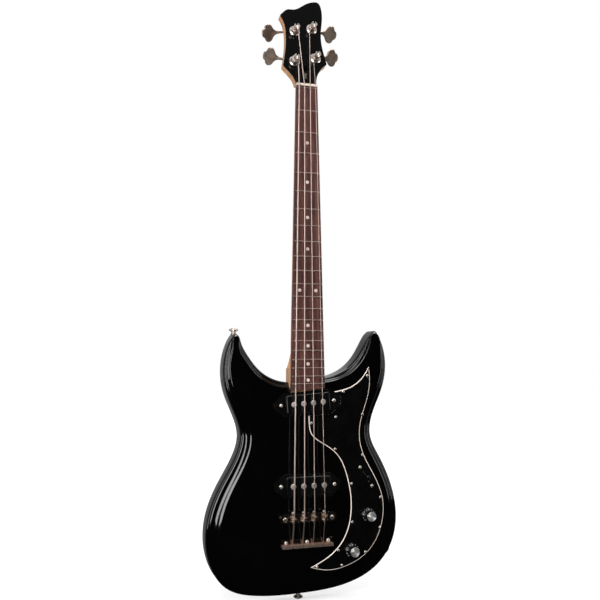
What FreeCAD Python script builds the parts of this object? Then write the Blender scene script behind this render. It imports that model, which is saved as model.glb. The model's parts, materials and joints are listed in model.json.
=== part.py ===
import FreeCAD, Part
import math
import os
from types import SimpleNamespace

import Sketcher
from FreeCAD import Placement, Rotation, Vector

# Four-string electric bass guitar, in millimetres. +Z runs up the neck, the front faces -Y and
# +X is the treble side. The origin is the middle of the zero fret on the fingerboard's face.

SIZES = {
    "fits": {"seat_gap": 0.05, "run_gap": 0.3, "cut_overrun": 4},
    "fingerboard": {
        "scale_length": 762, "board_nut_width": 39.5, "board_end_width": 62.5,
        "board_length": 545.5, "board_end_rise": 1.85, "board_thickness": 6,
        "fret_width": 2.4, "fret_height": 1.1, "fret_inset": 0.6, "fret_end_room": 8,
        "dot_diameter": 6, "dot_depth": 1.5, "twin_dot_spacing": 30,
    },
    "nut": {"nut_setback": 3.2, "nut_thickness": 4, "nut_rise": 2.4, "nut_slot_room": 0.2},
    "neck": {
        "neck_nut_depth": 14, "neck_heel_depth": 17, "heel_lead": 75.5, "heel_full_lead": 37.5,
        "heel_width": 62.5, "neck_pocket_depth": 22, "tongue_reach": 41, "tongue_thickness": 10.5,
    },
    "headstock": {
        "head_tilt": 10, "head_drop": 5, "head_length": 175.5, "head_half_width": 43,
        "head_thickness": 13, "head_face_thickness": 1.6, "head_face_setback": 0.5,
        "head_corner_round": 2,
    },
    "truss_rod": {
        "rod_diameter": 5, "rod_depth": 13, "rod_end": 450, "rod_nut_diameter": 7.5,
        "rod_nut_start": 14, "rod_nut_length": 16, "rod_slot_start": 12, "rod_slot_length": 26,
        "rod_slot_width": 9, "rod_slot_depth": 12,
    },
    "body": {
        "top_drop": 11, "horn_lead": 105.5, "tail_reach": 135.25, "body_half_width": 178,
        "body_thickness": 44, "edge_round": 7, "carve_width": 20.5, "carve_depth": 5,
    },
    "neck_plate": {
        "plate_width": 51, "plate_height": 46, "plate_thickness": 1.6, "plate_setback": 22.5,
        "plate_corner": 5, "plate_screw_x": 38, "plate_screw_z": 32, "neck_screw_diameter": 4.4,
        "neck_screw_length": 30, "neck_screw_head": 8.6, "neck_screw_rise": 2,
    },
    "tuner": {
        "post_bore_diameter": 13, "bushing_flange": 20, "bushing_top": 16, "bushing_height": 2.6,
        "post_diameter": 10, "post_waist": 8.4, "post_crown": 11, "post_height": 18,
        "post_crown_height": 3, "post_slot_width": 3.2, "post_slot_depth": 4.5,
        "tuner_plate_width": 26, "tuner_plate_below": 13.5, "tuner_plate_above": 24,
        "tuner_plate_thickness": 1.4, "gear_pitch_radius": 9, "gear_addendum": 0.8,
        "gear_dedendum": 1.1, "gear_tip_width": 0.6, "gear_root_width": 1.3,
        "gear_thickness": 4, "worm_pitch_radius": 3.5, "worm_core": 5,
        "worm_tip_width": 0.6, "worm_root_width": 1.3, "key_shaft": 4, "lug_gap": 6.4,
        "lug_thickness": 2, "lug_width": 9, "lug_wall": 1.6, "key_reach": 73.5,
        "key_length": 39, "key_half_width": 16.1, "key_thickness": 4.4, "key_rim_round": 1.4,
        "key_rest": 34, "tuner_screw_x": 9.4, "tuner_screw_low": 10, "tuner_screw_high": 20.5,
        "tuner_turn_e": -7, "tuner_turn_a": 11.5, "tuner_turn_d": -6, "tuner_turn_g": 9,
    },
    "string": {
        "nut_spread": 31.4, "bridge_spread": 56.4, "string_e": 2.67, "string_a": 2.16,
        "string_d": 1.65, "string_g": 1.14, "saddle_axis_rise": 17.5, "tail_axis_rise": 6,
        "wind_gap": 0.5, "bend_radius": 8, "ball_diameter": 5.6, "ball_length": 3.8,
    },
    "pickup": {
        "cover_length": 80.5, "cover_width": 33, "cover_rise": 10.5, "cover_wall": 1.7,
        "cover_corner": 3.5, "cover_top_round": 1.8, "ear_shoulder": 43, "ear_half_width": 21,
        "ear_reach": 61.5, "ear_tip": 5, "ear_thickness": 4.5, "ear_round": 4,
        "pole_diameter": 9.6, "pole_spacing_neck": 17.9, "pole_spacing_bridge": 18.9,
        "pole_length": 16, "pole_rise": 0.6, "coil_length": 74, "coil_width": 25,
        "coil_depth": 16, "ear_screw_x": 49, "pickup_shift": 1.2, "board_pickup_gap": 3,
        "neck_pickup_slant": 4.4, "bridge_pickup_share": 0.808, "rout_room": 1, "rout_depth": 11,
        "lead_bore": 7,
    },
    "pickguard": {
        "guard_side_margin": 33.6, "guard_lead": 65.3, "guard_tail_margin": 39.7,
        "guard_thickness": 2.4, "guard_bevel": 1.7, "guard_pickup_gap": 2, "guard_row_room": 4,
    },
    "screws": {
        "small_head": 5, "small_rise": 1.5, "small_shank": 2.6, "small_length": 11,
        "mount_head": 6.8, "mount_rise": 2.2, "mount_shank": 3.4, "mount_length": 18,
        "switch_head": 5.6, "switch_rise": 1.7, "switch_shank": 3, "switch_length": 6,
    },
    "bridge": {
        "bridge_setback": 4.75, "bridge_length": 102, "bridge_width": 16.5, "bridge_lift": 5,
        "bridge_height": 8, "bridge_floor": 3, "channel_length": 72, "channel_width": 12,
        "bridge_post_spacing": 85.5, "bridge_post_setback": 2.2, "bridge_post_diameter": 8,
        "bridge_post_top": 14.4, "bridge_post_depth": 18, "bridge_post_slot": 1.4,
        "wheel_diameter": 16, "wheel_thickness": 2.6, "bridge_bushing_diameter": 13,
        "bridge_bushing_flange": 16, "bridge_bushing_rim": 1.2, "saddle_width": 10.5,
        "saddle_length": 5, "saddle_ridge": 1, "saddle_shoulder": 3.5, "saddle_setback_e": 6.4,
        "saddle_setback_a": 5.6, "saddle_setback_d": 4.8, "saddle_setback_g": 4, "saddle_seat": 0.15,
        "saddle_screw": 2.6, "saddle_screw_head": 4.6, "saddle_screw_head_length": 2,
        "saddle_screw_rise": 10.3,
    },
    "tailpiece": {
        "tail_width": 92.5, "tail_setback": 38.25, "tail_depth": 14.2, "tail_plate": 2.5,
        "tail_wall": 5.2, "tail_wall_rise": 10.2, "tail_slot_width": 3.4, "tail_slot_floor": 4.4,
        "tail_screw_x": 38.5, "tail_screw_inset": 5.5,
    },
    "strap_button": {
        "button_base": 13, "button_waist": 8, "button_rim": 16.4, "button_height": 11,
        "button_rim_height": 3, "horn_flat": 20, "button_depth": 24, "button_screw_head": 8,
        "button_screw_rise": 2, "button_screw_shank": 4, "button_screw_length": 36,
    },
    "knob": {
        "knob_skirt": 25.8, "knob_skirt_edge": 1.6, "knob_skirt_height": 6, "knob_barrel": 18.4,
        "knob_height": 16.6,
        "knob_lift": 0.8, "knob_recess": 15, "knob_recess_depth": 4.5, "knob_cap": 16.8,
        "knob_cap_rise": 1.2, "knob_cap_sink": 1.4, "pot_shaft": 6, "pot_shaft_rise": 13,
        "pot_bushing": 9.4, "pot_bushing_rise": 5, "pot_can": 24, "pot_can_depth": 12,
        "pot_nut": 13, "pot_nut_height": 2.2,
    },
    "switch": {
        "switch_angle": 56.2, "switch_screw_spacing": 40.4,
        "switch_slot_length": 22, "switch_slot_width": 3.4, "frame_length": 48,
        "frame_width": 13, "frame_thickness": 1.6, "cheek_length": 26, "cheek_thickness": 1.4,
        "cheek_gap": 3.2, "cheek_depth": 20, "pivot_depth": 14, "pivot_diameter": 2.4,
        "lever_width": 5, "lever_thickness": 2, "lever_rise": 9, "lever_foot": 3,
        "tip_length": 9, "tip_width": 7.5, "tip_thickness": 5, "tip_start": 5,
    },
    "controls": {
        "cavity_depth": 34, "cavity_switch_radius": 14, "cavity_switch_reach": 15,
        "cavity_pot_radius": 17, "jack_depth": 25,
        "jack_angle": 38, "jack_diameter": 18, "jack_length": 30, "jack_flange": 24,
        "jack_flange_height": 2.4, "jack_bore": 6.4, "jack_bore_depth": 26, "lead_diameter": 2.4,
    },
}

OCTAVE = 12
DOT_FRETS = (3, 5, 7, 9)
GEAR_TEETH = 20
WORM_TURNS = 3.5
WIND_TURNS = 2
ROUND_STEPS = 4
CARVE_STEPS = 6
NECK_SQUARENESS = {"nut": 2.2, "heel": 2.6, "block": 12}
STRINGS = ("e", "a", "d", "g")

# Body outline from the bass side of the neck round the tail to the treble side: across as a share
# of the half width, down as a share of the length, and how much of the carve's width it takes.
BODY_OUTLINE_SHARES = (
    (-0.120, 0.203, 0.45), (-0.300, 0.191, 0.60), (-0.455, 0.158, 0.60), (-0.579, 0.102, 0.55),
    (-0.657, 0.047, 0.30), (-0.688, 0.021, 0.12), (-0.713, 0.015, 0.25), (-0.740, 0.024, 0.12),
    (-0.775, 0.047, 0.30), (-0.829, 0.123, 0.55), (-0.810, 0.229, 0.70), (-0.716, 0.323, 0.85),
    (-0.663, 0.404, 1.00), (-0.711, 0.476, 1.10), (-0.843, 0.570, 1.20), (-0.962, 0.673, 1.30),
    (-1.000, 0.764, 1.30), (-0.950, 0.873, 1.15), (-0.792, 0.957, 1.00), (-0.505, 0.993, 1.00),
    (-0.051, 0.998, 1.00), (0.534, 0.965, 1.00), (0.770, 0.914, 0.95), (0.933, 0.827, 0.90),
    (0.981, 0.722, 0.85), (0.935, 0.616, 0.80), (0.800, 0.495, 0.80), (0.702, 0.410, 0.75),
    (0.715, 0.346, 0.70), (0.822, 0.242, 0.70), (0.878, 0.141, 0.65), (0.845, 0.058, 0.40),
    (0.787, 0.013, 0.12), (0.756, 0.000, 0.25), (0.726, 0.008, 0.12), (0.657, 0.045, 0.30),
    (0.565, 0.102, 0.55), (0.430, 0.151, 0.60), (0.270, 0.177, 0.55), (0.120, 0.187, 0.45),
)

# Headstock outline in four runs between its corners: across as a share of the half width and
# along as a share of the length, from the nut up the bass side and down the treble side.
HEAD_OUTLINE_SHARES = (
    ((-0.459, 0.000), (-0.505, 0.052), (-0.714, 0.128), (-0.977, 0.202)),
    ((-0.977, 0.202), (-0.842, 0.380), (-0.782, 0.560), (-0.853, 0.717), (-1.000, 0.789)),
    ((-1.000, 0.789), (-0.830, 0.833), (-0.640, 0.868), (-0.402, 0.874), (0.170, 0.955),
     (0.507, 0.993), (0.760, 0.995), (0.895, 0.925), (0.845, 0.690), (0.800, 0.533),
     (0.856, 0.415), (0.990, 0.263)),
    ((0.990, 0.263), (0.642, 0.174), (0.488, 0.086), (0.459, 0.000)),
)

# Post places on the headstock, in the same shares, for the strings in order.
POST_SHARES = {"e": (-0.465, 0.258), "a": (-0.384, 0.613), "d": (0.395, 0.661), "g": (0.488, 0.316)}

# Pickguard outline in three runs: across as a share of its reach, down as a share of its length.
GUARD_OUTLINE_SHARES = (
    ((0.826, 0.000), (0.752, 0.047), (0.635, 0.090), (0.520, 0.111), (0.387, 0.123), (0.208, 0.142)),
    ((0.028, 0.210), (0.027, 0.260), (0.062, 0.335), (0.216, 0.384), (0.402, 0.444),
     (0.533, 0.570), (0.568, 0.650), (0.566, 0.731), (0.521, 0.812), (0.357, 0.909), (0.044, 0.981)),
    ((0.044, 0.981), (0.244, 1.000), (0.518, 0.986), (0.800, 0.922), (0.976, 0.799),
     (0.994, 0.659), (0.850, 0.523), (0.722, 0.415), (0.697, 0.313), (0.796, 0.170),
     (0.838, 0.080), (0.826, 0.000)),
)

# Rows of the pickguard just below the neck pickup and just above the bridge pickup, as shares down it.
GUARD_ROW_SHARES = (0.2499, 0.5126)

# Middle of each control on the pickguard, in the same shares.
CONTROL_SHARES = {"volume": (0.796, 0.745), "tone": (0.575, 0.912), "switch": (0.771, 0.554)}

# Pickguard screws, in the same shares.
GUARD_SCREW_SHARES = (
    (0.800, 0.047), (0.476, 0.127), (0.730, 0.242), (0.376, 0.252), (0.060, 0.279), (0.364, 0.411),
    (0.726, 0.446), (0.577, 0.585), (0.961, 0.660), (0.585, 0.775), (0.950, 0.810), (0.400, 0.908),
    (0.754, 0.926), (0.443, 0.981), (0.123, 0.979),
)

# Seats on the body's edge, in the shares of the body's outline.
EDGE_SHARES = {"horn_button": (-0.7135, 0.0195), "tail_button": (-0.051, 0.998), "jack": (0.884, 0.866)}

# Half of a key's cloverleaf outline in two runs that meet in its notch: along as a share of its
# length from the shaft, and across as a share of its half width.
KEY_OUTLINE_SHARES = (
    ((0.000, 0.130), (0.205, 0.161), (0.333, 0.261), (0.423, 0.447), (0.487, 0.714), (0.590, 0.950),
     (0.705, 1.000), (0.795, 0.888), (0.851, 0.658), (0.869, 0.534)),
    ((0.869, 0.534), (0.905, 0.491), (0.964, 0.360), (0.993, 0.190), (1.000, 0.000)),
)

doc = FreeCAD.newDocument("bass_guitar")
sheet = doc.addObject("Spreadsheet::Sheet", "sizes")
nodes = []


def fill_sheet():
    row = 1
    for piece, values in SIZES.items():
        sheet.set("A%d" % row, piece)
        for name, value in values.items():
            row += 1
            sheet.set("A%d" % row, name)
            sheet.set("B%d" % row, str(value))
            sheet.setAlias("B%d" % row, name)
        row += 1
    doc.recompute()
    names = [name for values in SIZES.values() for name in values]
    return SimpleNamespace(**{name: float(sheet.get(name)) for name in names})


dim = fill_sheet()

# The three working frames look at the instrument from the front: x across, y along it, z out.
FACING_FRONT = Rotation(Vector(1, 0, 0), 90)
nut_back = dim.nut_setback + dim.nut_thickness
neck_frame = Placement(Vector(0, 0, 0), FACING_FRONT)
deck_frame = Placement(Vector(0, dim.top_drop, 0), FACING_FRONT)
head_frame = Placement(Vector(0, dim.head_drop, nut_back), Rotation(Vector(1, 0, 0), 90 - dim.head_tilt))
head_back = -dim.head_face_thickness - dim.head_thickness
guard_top = dim.guard_thickness

# Places down the instrument, measured from the zero fret.
heel_start = dim.board_length - dim.heel_lead
heel_full = dim.board_length - dim.heel_full_lead
tongue_end = dim.board_length + dim.tongue_reach
bridge_z = dim.scale_length + dim.bridge_setback
bridge_post_z = bridge_z + dim.bridge_post_setback
saddle_screw_length = dim.bridge_width - dim.saddle_screw_head_length / 2
tail_start = bridge_z + dim.tail_setback
tail_screw_z = tail_start + dim.tail_screw_inset
body_start = dim.board_length - dim.horn_lead
body_length = bridge_z + dim.tail_reach - body_start
guard_start = body_start + dim.guard_lead
guard_length = body_length - dim.guard_lead - dim.guard_tail_margin
guard_reach = dim.body_half_width - dim.guard_side_margin
board_to_bridge = bridge_z - dim.bridge_width / 2 - dim.board_length
pickup_room = board_to_bridge - dim.board_pickup_gap - 4 * dim.ear_half_width
neck_pickup_z = dim.board_length + dim.board_pickup_gap + dim.ear_half_width
bridge_pickup_z = neck_pickup_z + 2 * dim.ear_half_width + pickup_room * dim.bridge_pickup_share
guard_rows = [
    (0, guard_start),
    (GUARD_ROW_SHARES[0], neck_pickup_z + dim.ear_half_width + dim.guard_row_room),
    (GUARD_ROW_SHARES[1], bridge_pickup_z - dim.ear_half_width - dim.guard_row_room),
    (1, guard_start + guard_length),
]


# Shared builders

def node(label, shape, frame=None):
    piece = doc.addObject("Part::Feature", label)
    piece.Label = label
    piece.Shape = shape
    if frame is not None:
        piece.Placement = frame
    nodes.append(piece)
    return piece


def named(piece, label):
    piece.Label = label
    nodes.append(piece)
    return piece


def worth(expression):
    return float(sheet.evalExpression(expression))


def origin_plane(body, role):
    return next(item for item in body.Origin.OriginFeatures if item.Role == role)


def pin_vertex(sketch, edge, kind, expression):
    if expression == "0":
        axis = -2 if kind == "DistanceX" else -1
        sketch.addConstraint(Sketcher.Constraint("PointOnObject", edge, 1, axis))
        return
    index = sketch.addConstraint(Sketcher.Constraint(kind, edge, 1, worth(expression)))
    sketch.setExpression("Constraints[%d]" % index, expression)


def closed_profile(sketch, points):
    spots = [Vector(worth(x), worth(y), 0) for x, y in points]
    count = len(spots)
    for index in range(count):
        sketch.addGeometry(Part.LineSegment(spots[index], spots[(index + 1) % count]), False)
    for index in range(count):
        sketch.addConstraint(Sketcher.Constraint("Coincident", index, 2, (index + 1) % count, 1))
    for index, (x, y) in enumerate(points):
        pin_vertex(sketch, index, "DistanceX", x)
        pin_vertex(sketch, index, "DistanceY", y)


def sketch_on(body, role, name):
    sketch = body.newObject("Sketcher::SketchObject", name)
    sketch.AttachmentSupport = [(origin_plane(body, role), "")]
    sketch.MapMode = "FlatFace"
    return sketch


def turned(label, points):
    """A turned piece: a profile of radius and height expressions, revolved about its own Z."""
    body = doc.addObject("PartDesign::Body", label)
    sketch = sketch_on(body, "XZ_Plane", label + "_profile")
    closed_profile(sketch, points)
    turn = body.newObject("PartDesign::Revolution", label + "_turn")
    turn.Profile = sketch
    turn.ReferenceAxis = (sketch, ["V_Axis"])
    turn.Angle = 360
    sketch.Visibility = False
    doc.recompute()
    return body


def padded(label, points, height):
    """A flat piece: a profile of expressions on the XY plane, padded up to a height."""
    body = doc.addObject("PartDesign::Body", label)
    sketch = sketch_on(body, "XY_Plane", label + "_profile")
    closed_profile(sketch, points)
    pad = body.newObject("PartDesign::Pad", label + "_pad")
    pad.Profile = sketch
    pad.setExpression("Length", height)
    doc.recompute()
    return body


def rounded_uprights(body, radius):
    """Rounds the upright corner edges of a padded piece."""
    base = body.Tip
    uprights = []
    for index, edge in enumerate(base.Shape.Edges):
        ends = [vertex.Point for vertex in edge.Vertexes]
        if len(ends) == 2 and abs((ends[1] - ends[0]).normalize().z) > 0.99:
            uprights.append("Edge%d" % (index + 1))
    fillet = body.newObject("PartDesign::Fillet", body.Label + "_corners")
    fillet.Base = (base, uprights)
    fillet.setExpression("Radius", radius)
    doc.recompute()


def drilled(body, spots, diameter):
    """Drills round holes right through a padded piece."""
    before = body.Shape.Volume
    sketch = sketch_on(body, "XY_Plane", body.Label + "_holes")
    for index, (x, y) in enumerate(spots):
        circle = Part.Circle(Vector(worth(x), worth(y), 0), Vector(0, 0, 1), worth(diameter) / 2)
        sketch.addGeometry(circle, False)
        size = sketch.addConstraint(Sketcher.Constraint("Diameter", index, worth(diameter)))
        sketch.setExpression("Constraints[%d]" % size, diameter)
        for kind, place in (("DistanceX", x), ("DistanceY", y)):
            if place == "0":
                axis = -2 if kind == "DistanceX" else -1
                sketch.addConstraint(Sketcher.Constraint("PointOnObject", index, 3, axis))
            else:
                spot = sketch.addConstraint(Sketcher.Constraint(kind, index, 3, worth(place)))
                sketch.setExpression("Constraints[%d]" % spot, place)
    pocket = body.newObject("PartDesign::Pocket", body.Label + "_drill")
    pocket.Profile = sketch
    pocket.Type = 1
    pocket.Reversed = True
    doc.recompute()
    if body.Shape.Volume >= before:
        raise RuntimeError("The holes in %s cut nothing" % body.Label)


def group(label, master, frames):
    """Identical pieces kept together: the master's solid at every frame."""
    solids = []
    for frame in frames:
        solid = master.Shape.copy()
        solid.Placement = frame.multiply(master.Shape.Placement)
        solids.append(solid)
    return node(label, Part.makeCompound(solids))


def spline(points):
    curve = Part.BSplineCurve()
    curve.interpolate(points)
    return curve


def prism(wire, start, height):
    face = Part.Face(wire)
    face.translate(Vector(0, 0, start))
    return face.extrude(Vector(0, 0, height))


def block(x, y, z, width, length, height):
    """A box centred on x and y, standing on z."""
    return Part.makeBox(width, length, height, Vector(x - width / 2, y - length / 2, z))


def rod(diameter, length, base, direction=Vector(0, 0, -1)):
    return Part.makeCylinder(diameter / 2, length, base, direction)


def out_of(frame, x, y, z):
    """The same frame moved to a place given in its own x, y and z."""
    return frame.multiply(Placement(Vector(x, y, z), Rotation()))


def upright_edges(shape, places, reach):
    """Edges along z whose plan position lies within reach of one of the places."""
    found = []
    for edge in shape.Edges:
        ends = [vertex.Point for vertex in edge.Vertexes]
        if len(ends) != 2 or abs(ends[0].x - ends[1].x) + abs(ends[0].y - ends[1].y) > reach:
            continue
        flat = Vector(ends[0].x, ends[0].y, 0)
        if any((flat - place).Length < reach for place in places):
            found.append(edge)
    return found


# Places that several pieces share

def fret_z(number):
    return -dim.scale_length * (1 - 2 ** (-number / OCTAVE))


def fret_count():
    """As many frets as the fingerboard has room for."""
    share = (dim.board_length - dim.fret_end_room) / dim.scale_length
    return math.floor(-OCTAVE * math.log2(1 - share))


def board_width_at(z):
    taper = (dim.board_end_width - dim.board_nut_width) / dim.board_length
    return dim.board_nut_width - z * taper


def string_x(index, spread):
    return spread * (index / (len(STRINGS) - 1) - 1 / 2)


def gauge(name):
    return getattr(dim, "string_" + name)


def saddle_z(name):
    return -dim.scale_length - getattr(dim, "saddle_setback_" + name)


def post_place(name):
    across, along = POST_SHARES[name]
    return Vector(across * dim.head_half_width, along * dim.head_length, 0)


def tuner_place(name):
    """One tuning machine on the headstock, turned square to the edge beside it."""
    turn = getattr(dim, "tuner_turn_" + name)
    return Placement(post_place(name), Rotation(Vector(0, 0, 1), turn))


def guard_point(shares):
    """A point of the pickguard, whose rows between the pickups keep clear of them."""
    across, down = shares
    for (first_share, first), (second_share, second) in zip(guard_rows, guard_rows[1:]):
        if down <= second_share:
            break
    row = first + (second - first) * (down - first_share) / (second_share - first_share)
    return Vector(across * guard_reach, -row, 0)


def body_point(shares):
    across, down = shares
    return Vector(across * dim.body_half_width, -body_start - down * body_length, 0)


def pickup_frame(name):
    place = -neck_pickup_z if name == "neck" else -bridge_pickup_z
    slant = dim.neck_pickup_slant if name == "neck" else 0
    seat = Vector(dim.pickup_shift, place, 0)
    return deck_frame.multiply(Placement(seat, Rotation(Vector(0, 0, 1), slant)))


def edge_seat(name, depth):
    """A seat on the body's edge, at a depth below its top."""
    point = body_point(EDGE_SHARES[name])
    return Vector(point.x, dim.top_drop + depth, point.y)


def in_deck(frame):
    return deck_frame.inverse().multiply(frame)


ear_screws = [
    out_of(pickup_frame(name), side * dim.ear_screw_x, 0, dim.ear_thickness)
    for name in ("neck", "bridge") for side in (-1, 1)
]
tail_screws = [
    out_of(deck_frame, side * dim.tail_screw_x, -tail_screw_z, dim.tail_plate) for side in (-1, 0, 1)
]
guard_screws = [
    out_of(deck_frame, point.x, point.y, guard_top) for point in map(guard_point, GUARD_SCREW_SHARES)
]
switch_place = guard_point(CONTROL_SHARES["switch"])
switch_frame = deck_frame.multiply(Placement(switch_place, Rotation(Vector(0, 0, 1), -dim.switch_angle)))
pot_places = {name: guard_point(CONTROL_SHARES[name]) for name in ("volume", "tone")}
jack_out = Vector(math.cos(math.radians(dim.jack_angle)), 0, -math.sin(math.radians(dim.jack_angle)))
jack_frame = Placement(edge_seat("jack", dim.jack_depth), Rotation(Vector(0, 0, 1), jack_out))
horn_frame = Placement(edge_seat("horn_button", dim.button_depth), Rotation())
tail_frame = Placement(edge_seat("tail_button", dim.button_depth), Rotation(Vector(1, 0, 0), 180))
plate_center = tongue_end - dim.plate_setback
plate_spots = [
    (side * dim.plate_screw_x / 2, -plate_center + end * dim.plate_screw_z / 2)
    for side in (-1, 1) for end in (-1, 1)
]
bridge_posts = [side * dim.bridge_post_spacing / 2 for side in (-1, 1)]


def hole_for(frame, diameter, length):
    """A hole down from a screw's seat, in the deck's frame."""
    local = in_deck(frame)
    start = local.multVec(Vector(0, 0, dim.cut_overrun))
    along = local.Rotation.multVec(Vector(0, 0, -1))
    return rod(diameter + 2 * dim.seat_gap, length + dim.cut_overrun, start, along)


# Body: a slab with rolled edges, a carved step round its top, and the routs for what it holds

def body_section(points, shares, out, inset):
    curve = spline(points)
    moved = []
    for point, share in zip(points, shares):
        tangent = curve.tangent(curve.parameter(point))[0]
        inward = Vector(-tangent.y, tangent.x, 0)
        moved.append(point + inward * (inset * share) + Vector(0, 0, out))
    return Part.Wire([spline(moved).toShape(), Part.makeLine(moved[-1], moved[0])])


def body_profile():
    """Heights below the top and insets from the outline, from the back round to the plateau."""
    steps = []
    for step in range(ROUND_STEPS, -1, -1):
        angle = math.radians(90 * step / ROUND_STEPS)
        rise = dim.edge_round * (1 - math.sin(angle))
        steps.append((-dim.body_thickness + rise, dim.edge_round * (1 - math.cos(angle))))
    for step in range(ROUND_STEPS + 1):
        angle = math.radians(90 * step / ROUND_STEPS)
        drop = dim.edge_round * (1 - math.sin(angle))
        steps.append((-dim.carve_depth - drop, dim.edge_round * (1 - math.cos(angle))))
    for step in range(1, CARVE_STEPS + 1):
        share = step / CARVE_STEPS
        inset = dim.edge_round + (dim.carve_width - dim.edge_round) * share
        steps.append((-dim.carve_depth * (1 + math.cos(math.pi * share)) / 2, inset))
    return steps


def pickup_rout(name):
    rout = block(0, 0, -dim.rout_depth, dim.coil_length + 2 * dim.rout_room,
                 dim.coil_width + 2 * dim.rout_room, dim.rout_depth + dim.cut_overrun)
    rout.Placement = in_deck(pickup_frame(name))
    return rout


def control_cavity():
    """A chain of round pockets joined by straight ones, under the switch and the two pots."""
    floor = -dim.cavity_depth
    height = dim.cavity_depth + dim.cut_overrun
    along = Vector(math.cos(math.radians(dim.switch_angle)), -math.sin(math.radians(dim.switch_angle)), 0)
    stations = [
        (switch_place - along * dim.cavity_switch_reach, dim.cavity_switch_radius),
        (switch_place + along * dim.cavity_switch_reach, dim.cavity_switch_radius),
        (pot_places["volume"], dim.cavity_pot_radius),
        (pot_places["tone"], dim.cavity_pot_radius),
    ]
    pockets = []
    for place, radius in stations:
        pockets.append(Part.makeCylinder(radius, height, place + Vector(0, 0, floor)))
    for (first, first_radius), (second, second_radius) in zip(stations, stations[1:]):
        across = (second - first).normalize().cross(Vector(0, 0, 1))
        corners = [first + across * first_radius, second + across * second_radius,
                   second - across * second_radius, first - across * first_radius]
        pockets.append(prism(Part.makePolygon(corners + corners[:1]), floor, height))
    return pockets[0].fuse(pockets[1:]).removeSplitter()


def lead_bores():
    """Bores that carry the pickup leads: neck to bridge rout, and bridge rout to the controls."""
    depth = -dim.rout_depth + dim.lead_bore / 2
    neck = Vector(dim.coil_length / 4, -neck_pickup_z, depth)
    bridge = Vector(dim.coil_length / 4, -bridge_pickup_z, depth)
    volume = pot_places["volume"] + Vector(0, 0, depth)
    bores = []
    for first, second in ((neck, bridge), (bridge, volume)):
        bores.append(rod(dim.lead_bore, (second - first).Length, first, second - first))
    return bores


def make_body():
    points = [body_point((across, down)) for across, down, carve in BODY_OUTLINE_SHARES]
    shares = [carve for across, down, carve in BODY_OUTLINE_SHARES]
    sections = [body_section(points, shares, out, inset) for out, inset in body_profile()]
    blank = Part.makeLoft(sections, True, True)

    heel = dim.heel_width + 2 * dim.seat_gap
    pocket_end = tongue_end + dim.seat_gap
    pocket_length = pocket_end - heel_start
    cuts = [block(0, -pocket_end + pocket_length / 2, -dim.neck_pocket_depth, heel, pocket_length,
                  dim.neck_pocket_depth + dim.cut_overrun)]
    cuts += [pickup_rout("neck"), pickup_rout("bridge"), control_cavity()] + lead_bores()
    cuts += [hole_for(frame, dim.mount_shank, dim.mount_length) for frame in ear_screws + tail_screws]
    cuts += [hole_for(frame, dim.small_shank, dim.small_length) for frame in guard_screws]
    for x, z in plate_spots:
        cuts.append(rod(dim.neck_screw_diameter + 2 * dim.seat_gap, dim.body_thickness + dim.cut_overrun,
                        Vector(x, z, -dim.body_thickness - dim.cut_overrun), Vector(0, 0, 1)))
    for x in bridge_posts:
        cuts.append(rod(dim.bridge_bushing_diameter + 2 * dim.seat_gap,
                        dim.bridge_post_depth + dim.seat_gap + dim.cut_overrun,
                        Vector(x, -bridge_post_z, dim.cut_overrun)))
    for frame in (horn_frame, tail_frame):
        cuts.append(hole_for(frame, dim.button_screw_shank, dim.button_screw_length))
        flat = Part.makeCylinder(dim.horn_flat / 2, dim.button_height)
        flat.Placement = in_deck(frame)
        cuts.append(flat)
    jack_hole = rod(dim.jack_diameter + 2 * dim.seat_gap, dim.jack_length + dim.cut_overrun, Vector(0, 0, 0))
    jack_flat = Part.makeCylinder(dim.jack_flange / 2 + dim.run_gap, dim.jack_length)
    for cut in (jack_hole, jack_flat):
        cut.Placement = in_deck(jack_frame)
        cuts.append(cut)
    node("body", blank.cut(cuts), deck_frame)


# Neck and headstock in one piece, its black facing, and the truss rod

def neck_section(z, width, depth, squareness):
    points = []
    steps = 12
    for step in range(steps + 1):
        angle = math.pi * step / steps
        across = math.copysign(abs(math.cos(angle)) ** (2 / squareness), math.cos(angle))
        down = math.sin(angle) ** (2 / squareness) if 0 < step < steps else 0
        points.append(Vector(across * width / 2, z, -dim.board_thickness - down * depth))
    return Part.Wire([spline(points).toShape(), Part.makeLine(points[-1], points[0])])


def head_wire():
    runs = []
    for shares in HEAD_OUTLINE_SHARES:
        points = [Vector(x * dim.head_half_width, y * dim.head_length, 0) for x, y in shares]
        runs.append(spline(points).toShape())
    runs.append(Part.makeLine(runs[-1].Vertexes[-1].Point, runs[0].Vertexes[0].Point))
    return Part.Wire(runs)


def head_slab(start, height):
    corners = [
        Vector(shares[0][0] * dim.head_half_width, shares[0][1] * dim.head_length, 0)
        for shares in HEAD_OUTLINE_SHARES[1:]
    ]
    slab = prism(head_wire(), start, height)
    return slab.makeFillet(dim.head_corner_round, upright_edges(slab, corners, dim.head_corner_round / 2))


def post_bores():
    return [
        rod(dim.post_bore_diameter + 2 * dim.seat_gap, -head_back + 2 * dim.cut_overrun,
            post_place(name) + Vector(0, 0, dim.cut_overrun))
        for name in STRINGS
    ]


def rod_slot():
    return Part.makeBox(dim.rod_slot_width, dim.rod_slot_length, dim.rod_slot_depth + dim.cut_overrun,
                        Vector(-dim.rod_slot_width / 2, dim.rod_slot_start, -dim.rod_slot_depth))


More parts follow.
